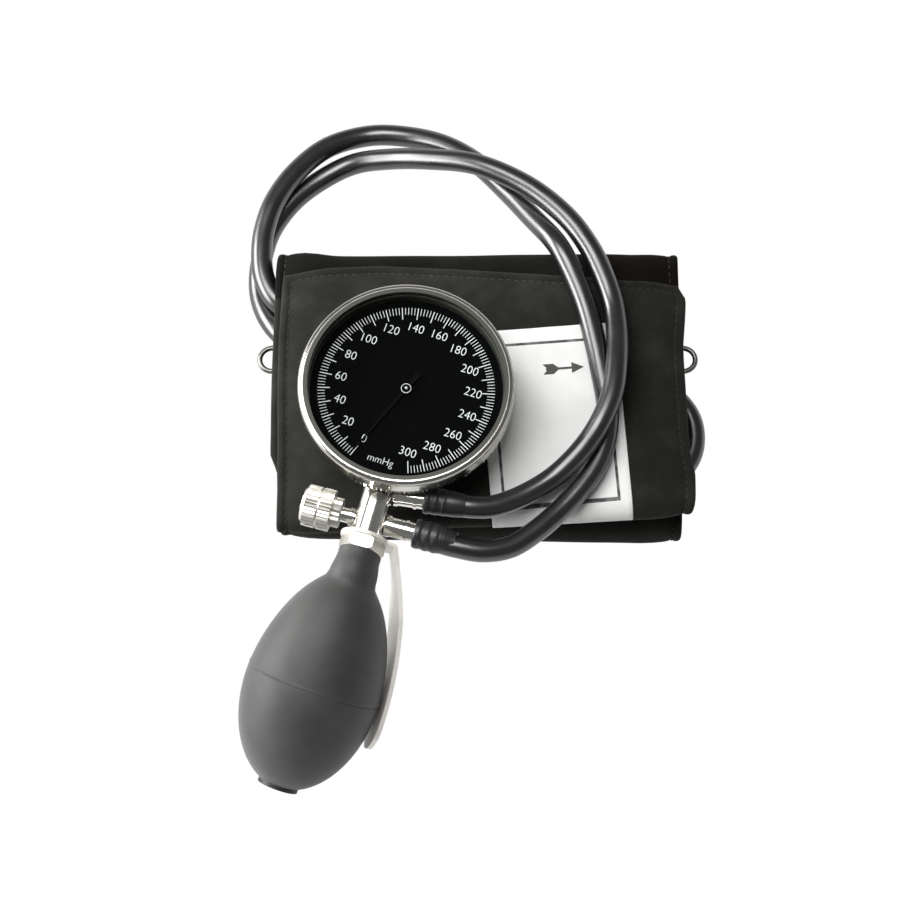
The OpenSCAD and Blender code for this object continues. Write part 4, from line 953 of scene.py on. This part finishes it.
# Each tape's piece, node and finish, 1 where its pile faces up, and the pitch and height of its tufts
TAPES = (
    ("hook_tape_piece", "hook_patch", "hook_tape", -1, 1.7, 0.3),
    ("loop_tape_piece", "loop_patch", "loop_tape", 1, 2.3, 0.25),
)
TAPE_EDGES = (0, 0.3)
BLADDER_WIDTH = 120.0
BLADDER_START = 4.0
BLADDER_END = float(RUN_STARTS[4]) + BACK_FOLD_Y - 20.6
# Half the bladder's thickness at distances in from its welded edge
WELD_IN = (0, 0.3, 1.0, 2.5, 4.5, 8)
WELD_HALF = (0, 0.45, 0.5, 0.6, 1.1, 1.35)
LOOP_BAR_Y, LOOP_RADIUS, LOOP_THICK = 9.7, 1.25, 0.5


def build_tapes():
    """Hook tape under the flap and loop tape on the layer below: thin backings with a raised pile."""
    for name, node, material, up, pitch, pile in TAPES:
        low, high = (np.array(v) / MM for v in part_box(node))
        x, y = np.meshgrid(edged_steps(low[0], high[0], TAPE_EDGES, 96),
                           edged_steps(low[1], high[1], TAPE_EDGES, 44), indexing="ij")
        tufts = pile * (0.5 + 0.5 * np.sin(2 * math.pi * x / pitch) * np.sin(2 * math.pi * y / pitch))
        tufts = tufts + 0.12 * wave_field(x, y, (9, 6, 5), SEED + 5)
        edge = np.minimum(np.minimum(x - low[0], high[0] - x), np.minimum(y - low[1], high[1] - y))
        bevel = ease(edge / 1.5)
        thick = (high[2] - low[2]) - pile - 0.1 + tufts * bevel - 0.25 * (1 - bevel)
        base = low[2] if up > 0 else high[2]
        near = np.stack([x, y, np.full_like(x, base)], -1)
        far = np.stack([x, y, base + up * thick * (edge > 0)], -1)
        tape = slab_piece(name, near, far, finish_of(material), slot=material)
        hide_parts(node)


def build_bladder():
    """The flat rubber bladder inside the cloth: two sheets joined at a welded edge, folded with the cuff."""
    rows = edged_steps(BLADDER_START, BLADDER_END, WELD_IN, 90)
    columns = edged_steps(0.0, BLADDER_WIDTH, WELD_IN, 30)
    s, across = np.meshgrid(rows, columns, indexing="ij")
    ends = np.minimum(s - BLADDER_START, BLADDER_END - s)
    inset = np.minimum(np.minimum(across, BLADDER_WIDTH - across), ends)
    half = np.interp(inset, WELD_IN, WELD_HALF)
    y, z, ny, nz = fold_line(s)
    x = across - BLADDER_WIDTH / 2
    y = y + askew(x, s)
    front, back = (np.stack([x, y + side * ny * half, z + side * nz * half], -1) for side in (1, -1))
    loop = np.concatenate([front, back[:, -2:0:-1]], axis=1) * MM
    piece = grid_piece("bladder_bag", loop, finish_of("bladder_latex"), wrap_columns=True,
                       slot="bladder_rubber", weld=True)
    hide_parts("bladder")


def build_ring_loop():
    """Cloth loop round the D-ring's front bar: a sheet that runs out, round the wire and back."""
    low, high = (np.array(v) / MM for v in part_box("d_ring_loop"))
    turn = np.radians(np.linspace(100, -100, 15))
    run_out = np.linspace(low[1] - 0.2, LOOP_BAR_Y - 1.2, 5)
    line_y = np.concatenate([run_out, LOOP_BAR_Y + LOOP_RADIUS * np.cos(turn), run_out[::-1]])
    line_z = MID_Z + np.concatenate([np.linspace(0.3, 0.75, 5), LOOP_RADIUS * np.sin(turn),
                                     np.linspace(-0.75, -0.3, 5)])
    path = np.stack([line_y, line_z], -1)
    heading = unit(np.gradient(path, axis=0))
    normal = np.stack([-heading[:, 1], heading[:, 0]], -1)
    outline = np.concatenate([path + normal * LOOP_THICK / 2, (path - normal * LOOP_THICK / 2)[::-1]])
    x = np.linspace(low[0], high[0], 60)[:, None]
    ripple = 0.08 * wave_field(x, outline[:, 0] * 3, (14, 9, 7), SEED + 8)
    points = np.stack([np.repeat(x, len(outline), 1), outline[:, 0] + ripple,
                       outline[:, 1] + 0 * ripple], -1) * MM
    along = np.concatenate([distances(outline), [30]])
    uv = np.stack(np.meshgrid(along, x), -1) * MM
    piece = grid_piece("ring_loop_cloth", points, finish_of("woven_cotton"), wrap_columns=True, uv=uv,
                       caps=True, slot="cuff_cloth")
    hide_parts("d_ring_loop")


# Dial print

TICK_OUT, TICK_SHORT, TICK_LONG = 29.6, 27.1, 25.4
TICK_SHORT_HALF, TICK_LONG_HALF = 0.095, 0.14
NUMBER_R, NUMBER_H, UNIT_R, UNIT_H = 22.3, 3.15, 26.5, 2.6
PRINT_UP, PRINT_SINK = 0.04, 0.02
# The built-in font is drawn thinner and narrower, to match the dial's slim numbers
LETTER_THIN, LETTER_NARROW, LETTER_CAP = -0.013, 0.93, 0.72
HUB_INNER, HUB_OUTER, HUB_LOW, HUB_HIGH = 1.52, 1.7, 20.33, 20.41


def dial_angle(value):
    """Angle of a pressure on the dial, in degrees, anticlockwise from the gauge's own X."""
    return SCALE_START - SCALE_SWEEP * value / 300


def build_dial_marks():
    """Scale lines every 2 mmHg, longer every 10: thin raised strips of print on the dial."""
    values = np.arange(0, 301, 2)
    long_mark = values % 10 == 0
    angle = np.radians(dial_angle(values))
    inner = np.where(long_mark, TICK_LONG, TICK_SHORT)
    outer = np.full_like(inner, TICK_OUT)
    half = np.where(long_mark, TICK_LONG_HALF, TICK_SHORT_HALF)
    out = np.stack([np.cos(angle), np.sin(angle), 0 * angle], -1)
    side = np.stack([-np.sin(angle), np.cos(angle), 0 * angle], -1)
    corners = []
    for height in (DIAL_TOP - PRINT_SINK, DIAL_TOP + PRINT_UP):
        for r, way in ((inner, -1), (outer, -1), (outer, 1), (inner, 1)):
            corners.append(out * r[:, None] + side * (way * half)[:, None] + np.array([0, 0, height]))
    box = np.array([[0, 3, 2, 1], [4, 5, 6, 7], [0, 1, 5, 4], [1, 2, 6, 5], [2, 3, 7, 6], [3, 0, 4, 7]])
    faces = (box[None] + (np.arange(len(values)) * 8)[:, None, None]).reshape(-1, 4)
    verts = to_world(np.stack(corners, 1).reshape(-1, 3), GAUGE_AXES, GAUGE_PLACE)
    make_piece("dial_scale", verts, faces, finish_of("dial_print"), smooth=False)


def letter_mesh(text, height):
    """Verts and faces of a short run of plain characters, centred and a little thick, in millimetres."""
    curve = bpy.data.curves.new("characters", "FONT")
    curve.body = text
    curve.size = 1.0
    curve.align_x = "CENTER"
    curve.align_y = "CENTER"
    curve.resolution_u = 3
    curve.offset = LETTER_THIN
    carrier = bpy.data.objects.new("characters", curve)
    bpy.context.scene.collection.objects.link(carrier)
    bpy.context.view_layer.update()
    mesh = bpy.data.meshes.new_from_object(carrier)
    bpy.data.objects.remove(carrier)
    bpy.data.curves.remove(curve)
    edit = bmesh.new()
    edit.from_mesh(mesh)
    bmesh.ops.remove_doubles(edit, verts=edit.verts, dist=1e-5)
    grown = bmesh.ops.extrude_face_region(edit, geom=edit.faces[:])
    for part in grown["geom"]:
        if isinstance(part, bmesh.types.BMVert):
            part.co.z += 1.0
    bmesh.ops.recalc_face_normals(edit, faces=edit.faces[:])
    edit.verts.index_update()
    verts = np.array([v.co[:] for v in edit.verts])
    faces = [[v.index for v in f.verts] for f in edit.faces]
    edit.free()
    bpy.data.meshes.remove(mesh)
    verts[:, :2] *= height / LETTER_CAP
    verts[:, 0] *= LETTER_NARROW
    verts[:, 2] = verts[:, 2] * (PRINT_UP + PRINT_SINK) - PRINT_SINK
    return verts, faces


def build_dial_numbers():
    """Plain numbers every 20 mmHg and the unit, all upright with the dial."""
    all_verts, all_faces, total = [], [], 0
    upright = turn_z(DIAL_TURN)
    marks = [(str(v), NUMBER_H, NUMBER_R, dial_angle(v)) for v in range(0, 301, 20)]
    marks.append(("mmHg", UNIT_H, UNIT_R, 270 + DIAL_TURN))
    for text, height, radius, angle in marks:
        verts, faces = letter_mesh(text, height)
        a = math.radians(angle)
        place = np.array([radius * math.cos(a), radius * math.sin(a), DIAL_TOP])
        all_verts.append(verts @ upright.T + place)
        all_faces += [[i + total for i in f] for f in faces]
        total += len(verts)
    verts = to_world(np.vstack(all_verts), GAUGE_AXES, GAUGE_PLACE)
    make_piece("dial_numbers", verts, all_faces, finish_of("dial_print"), smooth=False)


def build_hub_ring():
    """A thin pale line round the pointer's hub, which turns with it."""
    profile = np.array([[HUB_LOW, HUB_INNER], [HUB_LOW, HUB_OUTER], [HUB_HIGH, HUB_OUTER],
                        [HUB_HIGH, HUB_INNER]])
    points = turned_grid(profile, 48, GAUGE_AXES, GAUGE_PLACE)
    grid_piece("pointer_hub_line", points, finish_of("dial_print"), wrap_rows=True, wrap_columns=True,
               body="pointer_shaft", smooth=False)


# Bulb

NECK_START, NECK_R, NECK_BORE = 56.0, 8.1, 5.0
BEND_VERTEX, BEND_R, DROOP, ROLL = 63.0, 8.4, 24.5, 13.8
NECK_END = BEND_VERTEX - BEND_R * math.tan(math.radians(DROOP / 2))
BEND_LENGTH = BEND_R * math.radians(DROOP)
BULB_R, BULB_MID, NECK_CURVE_L, END_CURVE_L, WALL = 22.8, 39.8, 41.0, 34.5, 2.6
NECK_CURVE_POWER = 1.73
NECK_BLEND = 12
BULB_END_R, BULB_HOLE_R = 7.0, 4.9
BULB_FLAT = BULB_MID + END_CURVE_L * math.sqrt(1 - (BULB_END_R / BULB_R) ** 2)
# The moulding seam: a low ridge with a narrow groove beside it, nearer the bulb's end
SEAM_AT = BULB_MID - 2.7
SEAM_UP, SEAM_WIDTH = 0.16, 0.45
GROOVE_DOWN, GROOVE_WIDTH, GROOVE_OFF = 0.3, 0.22, 0.6
# How much the neck narrows at its start, the power of that curve, and the bead round it
NECK_THINNER, NECK_THINNER_POWER = 1.0, 1.4
NECK_BEAD_AT, NECK_BEAD_UP, NECK_BEAD_WIDTH = 0.9, 0.12, 0.6
BULB_SIDES = 96
TABLE_GAP = 0.05


def bulb_axis(t):
    """Middle line of the bulb at distance t from the start of its neck's bend: straight, bent, straight."""
    bend = np.clip(t / BEND_LENGTH, 0, 1) * math.radians(DROOP)
    before = np.minimum(t, 0)
    after = np.maximum(t - BEND_LENGTH, 0)
    y = BEND_R * (np.cos(bend) - 1) - after * math.sin(math.radians(DROOP))
    z = BEND_R * np.sin(bend) + before + after * math.cos(math.radians(DROOP))
    zero = np.zeros_like(y)
    return np.stack([zero, y, z], -1), np.stack([zero, np.cos(bend), np.sin(bend)], -1)


def bulb_curve(z, inset):
    """Radius of the bulb's two curves at z, inset from the outside: a swelling one from the neck to the
    widest ring, and a part of an ellipse from there to the end."""
    long_part = np.clip((BULB_MID - z) / (NECK_CURVE_L - inset), 0, 1)
    short_part = np.clip((z - BULB_MID) / (END_CURVE_L - inset), 0, 1)
    swell = np.where(z < BULB_MID, 1 - long_part ** NECK_CURVE_POWER, 1 - short_part ** 2)
    return (BULB_R - inset) * np.sqrt(np.clip(swell, 0, 1))


def bulb_radius(z):
    """Outer radius at z along the bulb, from the end of the bend. The neck and the long curve blend by the
    root of a sum of powers, and a moulding seam stands beside a groove near the widest ring."""
    curve = bulb_curve(z, 0)
    neck = (np.maximum(curve, 0.1) ** NECK_BLEND + NECK_R ** NECK_BLEND) ** (1 / NECK_BLEND)
    ridge = SEAM_UP * np.exp(-((z - SEAM_AT) / SEAM_WIDTH) ** 2)
    groove = GROOVE_DOWN * np.exp(-((z - SEAM_AT - GROOVE_OFF) / GROOVE_WIDTH) ** 2)
    return np.where(z < BULB_MID, np.minimum(neck, BULB_R), curve) + ridge - groove


def bulb_profile():
    """The bulb's outline as rows of a distance along its axis and a radius: neck, outside, end, inside."""
    start = NECK_START - NECK_END
    quarter = math.pi / 2
    z_long = BULB_MID * np.sin(np.linspace(0, quarter, 34))
    z_seam = SEAM_AT + np.array([-1.2, -0.8, -0.5, -0.25, 0, 0.2, 0.35, 0.48, 0.6, 0.72, 0.85, 1.0, 1.3])
    z_short = BULB_MID + (BULB_FLAT - BULB_MID) * np.sin(np.linspace(0, quarter, 26))
    z_out = np.unique(np.round(np.concatenate([z_long, z_seam, z_short]), 3))
    t_neck = np.concatenate([start + np.array([0, 0.15, 0.5, 1.1, 1.7, 2.3, 2.9]),
                             np.linspace(start + 3.6, BEND_LENGTH, 12)[:-1]])
    # The neck narrows to its start, with a small bead round it and a bevelled first ring
    lip = NECK_THINNER * (ease((t_neck - start) / (BEND_LENGTH - start)) ** NECK_THINNER_POWER - 1)
    lip = lip + NECK_BEAD_UP * np.exp(-((t_neck - start - NECK_BEAD_AT) / NECK_BEAD_WIDTH) ** 2)
    lip[0] -= 0.3
    outer = np.stack([np.concatenate([t_neck, z_out + BEND_LENGTH]),
                      np.concatenate([NECK_R + lip, bulb_radius(z_out)])], -1)
    end = BULB_FLAT + BEND_LENGTH
    rim = np.array([[end + 0.35, BULB_END_R - 0.25], [end + 0.45, BULB_END_R - 0.8],
                    [end + 0.1, BULB_HOLE_R + 0.5], [end - 0.1, BULB_HOLE_R + 0.02],
                    [end - 4.9, BULB_HOLE_R + 0.02]])
    z_in = np.linspace(BULB_FLAT - 5.4, 2.5, 30)
    inner = np.stack([z_in + BEND_LENGTH, np.maximum(bulb_curve(z_in, WALL), NECK_BORE)], -1)
    bore = np.stack([np.linspace(BEND_LENGTH, start, 8), np.full(8, NECK_BORE)], -1)
    return np.vstack([outer, rim, inner, bore])


def build_bulb():
    """The squeeze bulb: a ring of changing radius carried along the bent axis, with an inner wall."""
    profile = bulb_profile()
    centre, rise = bulb_axis(profile[:, 0])
    angle = np.linspace(0, 2 * math.pi, BULB_SIDES, endpoint=False)[:, None]
    ring = np.cos(angle) * np.array([1.0, 0, 0]) + np.sin(angle) * rise[:, None]
    local = centre[:, None] + profile[:, 1][:, None, None] * ring
    place = STEM_PLACE + STEM_AXES @ np.array([0, 0, NECK_END])
    points = to_world(local, STEM_AXES @ turn_z(-ROLL), place)
    points[..., 2] = np.maximum(points[..., 2], TABLE_GAP * MM)
    bulb = grid_piece("squeeze_bulb", points, finish_of("moulded_bulb_rubber"), wrap_rows=True,
                      wrap_columns=True, slot="bulb_rubber")
    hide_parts("bulb")


# Sleeves

GAUGE_TAP, AIR_TAP, NIPPLE_TURN = 34.3, 44.6, 6.5
SLEEVE_STEP = 0.18
# The bore fits the nipple, and from BORE_STEP on the hose
NIPPLE_BORE, HOSE_BORE, BORE_STEP = 3.32, 3.72, 21.3
# Outlines of the sleeves: a distance from the stem's axis, and the radius there
GAUGE_SLEEVE = (
    (15.4, 4.2), (15.7, 4.6), (16.9, 4.65), (17.4, 4.4), (18.2, 4.38), (18.9, 4.58), (19.7, 4.58),
    (20.3, 4.36), (21.1, 4.36), (21.7, 4.5), (22.4, 4.48), (23.0, 4.32), (25.4, 4.3), (27.2, 4.15),
    (28.6, 3.95), (29.4, 3.8),
)
AIR_SLEEVE = (
    (15.4, 4.6), (15.8, 5.0), (17.2, 5.1), (17.8, 4.85), (18.6, 4.82), (19.3, 5.08), (20.2, 5.1),
    (20.9, 4.85), (21.6, 4.83), (22.3, 5.05), (23.1, 5.05), (23.8, 4.8), (24.8, 4.7), (26.0, 4.5),
    (27.4, 4.15), (28.6, 3.9), (29.3, 3.8),
)


def build_sleeve(name, node, tap, turn, profile):
    """A moulded hose end: its rounded ribs and lip are one outline turned round the nipple's axis."""
    axes = STEM_AXES @ turn_y(90 + turn)
    place = STEM_PLACE + STEM_AXES @ np.array([0, 0, tap])
    keys = np.array(profile, float)
    z = np.unique(np.concatenate([np.arange(keys[0, 0], keys[-1, 0], SLEEVE_STEP), keys[:, 0]]))
    radius = np.pad(np.interp(z, keys[:, 0], keys[:, 1]), 2, mode="edge")
    outer = np.stack([z, np.convolve(radius, np.ones(5) / 5, mode="valid")], -1)
    bore = np.array([[keys[-1, 0], HOSE_BORE], [BORE_STEP, HOSE_BORE], [BORE_STEP, NIPPLE_BORE],
                     [keys[0, 0], NIPPLE_BORE]])
    points = turned_grid(np.vstack([outer, bore]), 48, axes, place)
    sleeve = grid_piece(name, points, finish_of("moulded_sleeve_rubber"), wrap_rows=True, wrap_columns=True,
                        slot="sleeve_rubber")
    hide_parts(node)


# Stage

CAMERA_AIM = Vector((-0.009, -0.028, 0.030))
CAMERA_LENS = 139.64
FLOOR_HALF, FLOOR_DROP = 12.0, 0.0001
# Each lamp's name, its place, the point that it faces, and its sides, in metres
KEY_LAMP = ("key_lamp", (-0.95, 0.12, 0.3), (-0.03, -0.03, 0.02), (1.0, 0.45))
TOP_LAMP = ("top_lamp", (-0.34, 0.18, 1.15), (-0.1, 0.1, 0.03), (0.55, 0.95))


def face_point(item, place, aim):
    """Puts a camera or a lamp at a place, turned to a point, in the scene."""
    item.location = place
    item.rotation_mode = "QUATERNION"
    item.rotation_quaternion = (Vector(aim) - Vector(place)).to_track_quat("-Z", "Y")
    bpy.context.scene.collection.objects.link(item)


def build_camera():
    """Camera at the photograph's angle: it looks down steeply from the bulb's side."""
    settings = bpy.context.scene.cuff_stage
    rise = settings.camera_elevation
    back = Vector((0, -math.cos(rise), math.sin(rise)))
    data = bpy.data.cameras.new("camera")
    data.lens = CAMERA_LENS
    data.sensor_width = 36
    data.clip_start, data.clip_end = 0.05, 60
    camera = bpy.data.objects.new("camera", data)
    face_point(camera, CAMERA_AIM + back * settings.camera_distance, CAMERA_AIM)
    bpy.context.scene.camera = camera


def build_floor():
    """A wide pale floor. What is seen directly, in metal and through glass is plain white."""
    size = FLOOR_HALF
    mesh = bpy.data.meshes.new("floor")
    mesh.from_pydata([(-size, -size, 0), (size, -size, 0), (size, size, 0), (-size, size, 0)], [],
                     [(0, 1, 2, 3)])
    material, tree = new_finish("pale_floor")
    path = add_node(tree, "LightPath")
    seen = path.outputs["Is Camera Ray"]
    for ray in ("Is Glossy Ray", "Is Transmission Ray"):
        seen = add_node(tree, "Math", {0: seen, 1: path.outputs[ray]}, operation="MAXIMUM")
    cloud = add_node(tree, "ValToRGB", {"Fac": patches(tree, 900)}, [(0.3, grey(0.66)), (0.7, grey(0.7))])
    matt = add_node(tree, "BsdfDiffuse", {"Color": cloud})
    white = add_node(tree, "Emission", {"Color": grey(1.0), "Strength": 1.0})
    both = add_node(tree, "MixShader", {0: seen, 1: matt, 2: white})
    add_node(tree, "OutputMaterial", {"Surface": both})
    mesh.materials.append(material)
    floor = bpy.data.objects.new("floor", mesh)
    floor.location = (0, 0, -FLOOR_DROP)
    bpy.context.scene.collection.objects.link(floor)


def build_world():
    """A plain grey room: bright round the horizon and darker overhead, so polished metal has contrast."""
    world = bpy.data.worlds.new("room")
    bpy.context.scene.world = world
    world.use_nodes = True
    tree = world.node_tree
    tree.nodes.clear()
    place = add_node(tree, "TexCoord").outputs["Generated"]
    height = add_node(tree, "SeparateXYZ", {0: place}).outputs["Z"]
    tone = add_node(tree, "ValToRGB", {"Fac": height},
                    [(0.0, grey(0.7)), (0.25, grey(0.55)), (0.6, grey(0.45)), (1.0, grey(0.4))])
    light = bpy.context.scene.cuff_stage.room_light
    background = add_node(tree, "Background", {"Color": tone, "Strength": light})
    add_node(tree, "OutputWorld", {"Surface": background})


def add_lamp(name, place, aim, size, power):
    """A rectangular soft lamp that faces a point."""
    data = bpy.data.lights.new(name, "AREA")
    data.shape = "RECTANGLE"
    data.size, data.size_y = size
    data.energy = power
    face_point(bpy.data.objects.new(name, data), place, aim)


def build_stage():
    """Camera, floor, room and lamps."""
    settings = bpy.context.scene.cuff_stage
    build_camera()
    build_floor()
    build_world()
    add_lamp(*KEY_LAMP, settings.key_power)
    add_lamp(*TOP_LAMP, settings.top_power)
    bpy.context.scene.view_settings.view_transform = "Standard"


# Settings that a user would change


class CuffStageSettings(bpy.types.PropertyGroup):
    camera_distance: bpy.props.FloatProperty(
        name="Camera distance", description="From the camera to the point it looks at", default=1.2,
        subtype="DISTANCE", unit="LENGTH")
    camera_elevation: bpy.props.FloatProperty(
        name="Camera elevation", description="Angle of the view above the table",
        default=math.radians(69.4), subtype="ANGLE", unit="ROTATION")
    room_light: bpy.props.FloatProperty(
        name="Room light", description="Strength of the plain grey room", default=0.35)
    key_power: bpy.props.FloatProperty(
        name="Key lamp", description="Power of the soft lamp low on the left", default=20.0,
        subtype="POWER", unit="POWER")
    top_power: bpy.props.FloatProperty(
        name="Top lamp", description="Power of the large soft lamp overhead", default=15.0,
        subtype="POWER", unit="POWER")


class CuffHoseSettings(bpy.types.PropertyGroup):
    diameter: bpy.props.FloatProperty(
        name="Hose diameter", description="Outer diameter of both hoses", default=7.5 * MM,
        subtype="DISTANCE", unit="LENGTH")


class CuffClothSettings(bpy.types.PropertyGroup):
    columns: bpy.props.IntProperty(
        name="Columns", description="Steps across the cloth between its hems", default=48)
    row_step: bpy.props.FloatProperty(
        name="Row step", description="Step along the cloth", default=2.0 * MM,
        subtype="DISTANCE", unit="LENGTH")


class CuffLabelSettings(bpy.types.PropertyGroup):
    width: bpy.props.FloatProperty(
        name="Label width", description="Size of the label across the cuff", default=47.4 * MM,
        subtype="DISTANCE", unit="LENGTH")
    length: bpy.props.FloatProperty(
        name="Label length", description="Size of the label along the cuff", default=69.5 * MM,
        subtype="DISTANCE", unit="LENGTH")


class CuffColourSettings(bpy.types.PropertyGroup):
    cloth: bpy.props.FloatVectorProperty(
        name="Cloth colour", description="Middle tone of the cuff's cotton", default=linear("#1b1b19")[:3],
        subtype="COLOR")
    hose: bpy.props.FloatVectorProperty(
        name="Hose colour", description="Rubber of both hoses", default=linear("#0e0e10")[:3],
        subtype="COLOR")
    bulb: bpy.props.FloatVectorProperty(
        name="Bulb colour", description="Rubber of the squeeze bulb", default=linear("#353433")[:3],
        subtype="COLOR")
    label: bpy.props.FloatVectorProperty(
        name="Label colour", description="Coated cloth of the label", default=linear("#f3f3f1")[:3],
        subtype="COLOR")
    dial: bpy.props.FloatVectorProperty(
        name="Dial colour", description="Enamel of the dial", default=linear("#060607")[:3],
        subtype="COLOR")
    dial_print: bpy.props.FloatVectorProperty(
        name="Print colour", description="Scale and numbers of the dial", default=linear("#f4f4f3")[:3],
        subtype="COLOR")


# Operators


class CUFF_OT_stage(bpy.types.Operator):
    """Make the camera, floor, room and lamps"""

    bl_idname = "cuff.stage"
    bl_label = "Stage"

    def execute(self, context):
        build_stage()
        return {"FINISHED"}


class CUFF_OT_hoses(bpy.types.Operator):
    """Make the two rubber hoses"""

    bl_idname = "cuff.hoses"
    bl_label = "Hoses"

    def execute(self, context):
        build_hose("gauge_hose", "hose_gauge", HOSE_GAUGE_ROUTE)
        build_hose("air_hose", "hose_air", HOSE_AIR_ROUTE)
        return {"FINISHED"}


class CUFF_OT_cloth(bpy.types.Operator):
    """Make the folded cloth cuff, its stitches, tapes, bladder and ring loop"""

    bl_idname = "cuff.cloth"
    bl_label = "Cuff cloth"

    def execute(self, context):
        build_cuff_cloth()
        build_cuff_stitches()
        build_tapes()
        build_bladder()
        build_ring_loop()
        return {"FINISHED"}


class CUFF_OT_label(bpy.types.Operator):
    """Make the sewn label"""

    bl_idname = "cuff.label"
    bl_label = "Label"

    def execute(self, context):
        build_label()
        return {"FINISHED"}


class CUFF_OT_dial(bpy.types.Operator):
    """Print the dial's scale and numbers"""

    bl_idname = "cuff.dial"
    bl_label = "Dial print"

    def execute(self, context):
        build_dial_marks()
        build_dial_numbers()
        build_hub_ring()
        return {"FINISHED"}


class CUFF_OT_bulb(bpy.types.Operator):
    """Make the rubber bulb"""

    bl_idname = "cuff.bulb"
    bl_label = "Bulb"

    def execute(self, context):
        build_bulb()
        return {"FINISHED"}


class CUFF_OT_sleeves(bpy.types.Operator):
    """Make the two moulded hose ends"""

    bl_idname = "cuff.sleeves"
    bl_label = "Hose ends"

    def execute(self, context):
        build_sleeve("gauge_hose_end", "sleeve_gauge", GAUGE_TAP, NIPPLE_TURN, GAUGE_SLEEVE)
        build_sleeve("air_hose_end", "sleeve_air", AIR_TAP, 0.0, AIR_SLEEVE)
        return {"FINISHED"}


class CUFF_OT_metal(bpy.types.Operator):
    """Give the metal, glass and moulded parts their finishes"""

    bl_idname = "cuff.metal"
    bl_label = "Part finishes"

    def execute(self, context):
        for finish, names in CAD_FINISHES.items():
            for name in names:
                mesh = NODES[name].data
                mesh.materials.clear()
                mesh.materials.append(finish_of(finish))
        return {"FINISHED"}


class CUFF_PT_panel(bpy.types.Panel):
    """Lists the pieces and their settings"""

    bl_idname = "CUFF_PT_panel"
    bl_label = "Cuff gauge"
    bl_space_type = "VIEW_3D"
    bl_region_type = "UI"
    bl_category = "Cuff gauge"

    def draw(self, context):
        scene = context.scene
        for name, _ in GROUPS:
            group = getattr(scene, name)
            box = self.layout.box()
            for key in group.__annotations__:
                box.prop(group, key)
        for step in OPERATORS:
            self.layout.operator(step.bl_idname)


GROUPS = (
    ("cuff_stage", CuffStageSettings),
    ("cuff_hoses", CuffHoseSettings),
    ("cuff_cloth", CuffClothSettings),
    ("cuff_label", CuffLabelSettings),
    ("cuff_colours", CuffColourSettings),
)
OPERATORS = (CUFF_OT_stage, CUFF_OT_hoses, CUFF_OT_cloth, CUFF_OT_label, CUFF_OT_dial, CUFF_OT_bulb,
             CUFF_OT_sleeves, CUFF_OT_metal)


def register():
    """Registers the settings, the operators and the panel."""
    for name, group in GROUPS:
        bpy.utils.register_class(group)
        setattr(bpy.types.Scene, name, bpy.props.PointerProperty(type=group))
    for made in OPERATORS + (CUFF_PT_panel,):
        bpy.utils.register_class(made)


def unregister():
    """Removes what register made."""
    for made in (CUFF_PT_panel,) + OPERATORS[::-1]:
        bpy.utils.unregister_class(made)
    for name, group in GROUPS[::-1]:
        delattr(bpy.types.Scene, name)
        bpy.utils.unregister_class(group)


def main():
    """Builds the whole scene."""
    register()
    for step in OPERATORS:
        group, name = step.bl_idname.split(".")
        getattr(getattr(bpy.ops, group), name)()


if __name__ == "__main__":
    main()
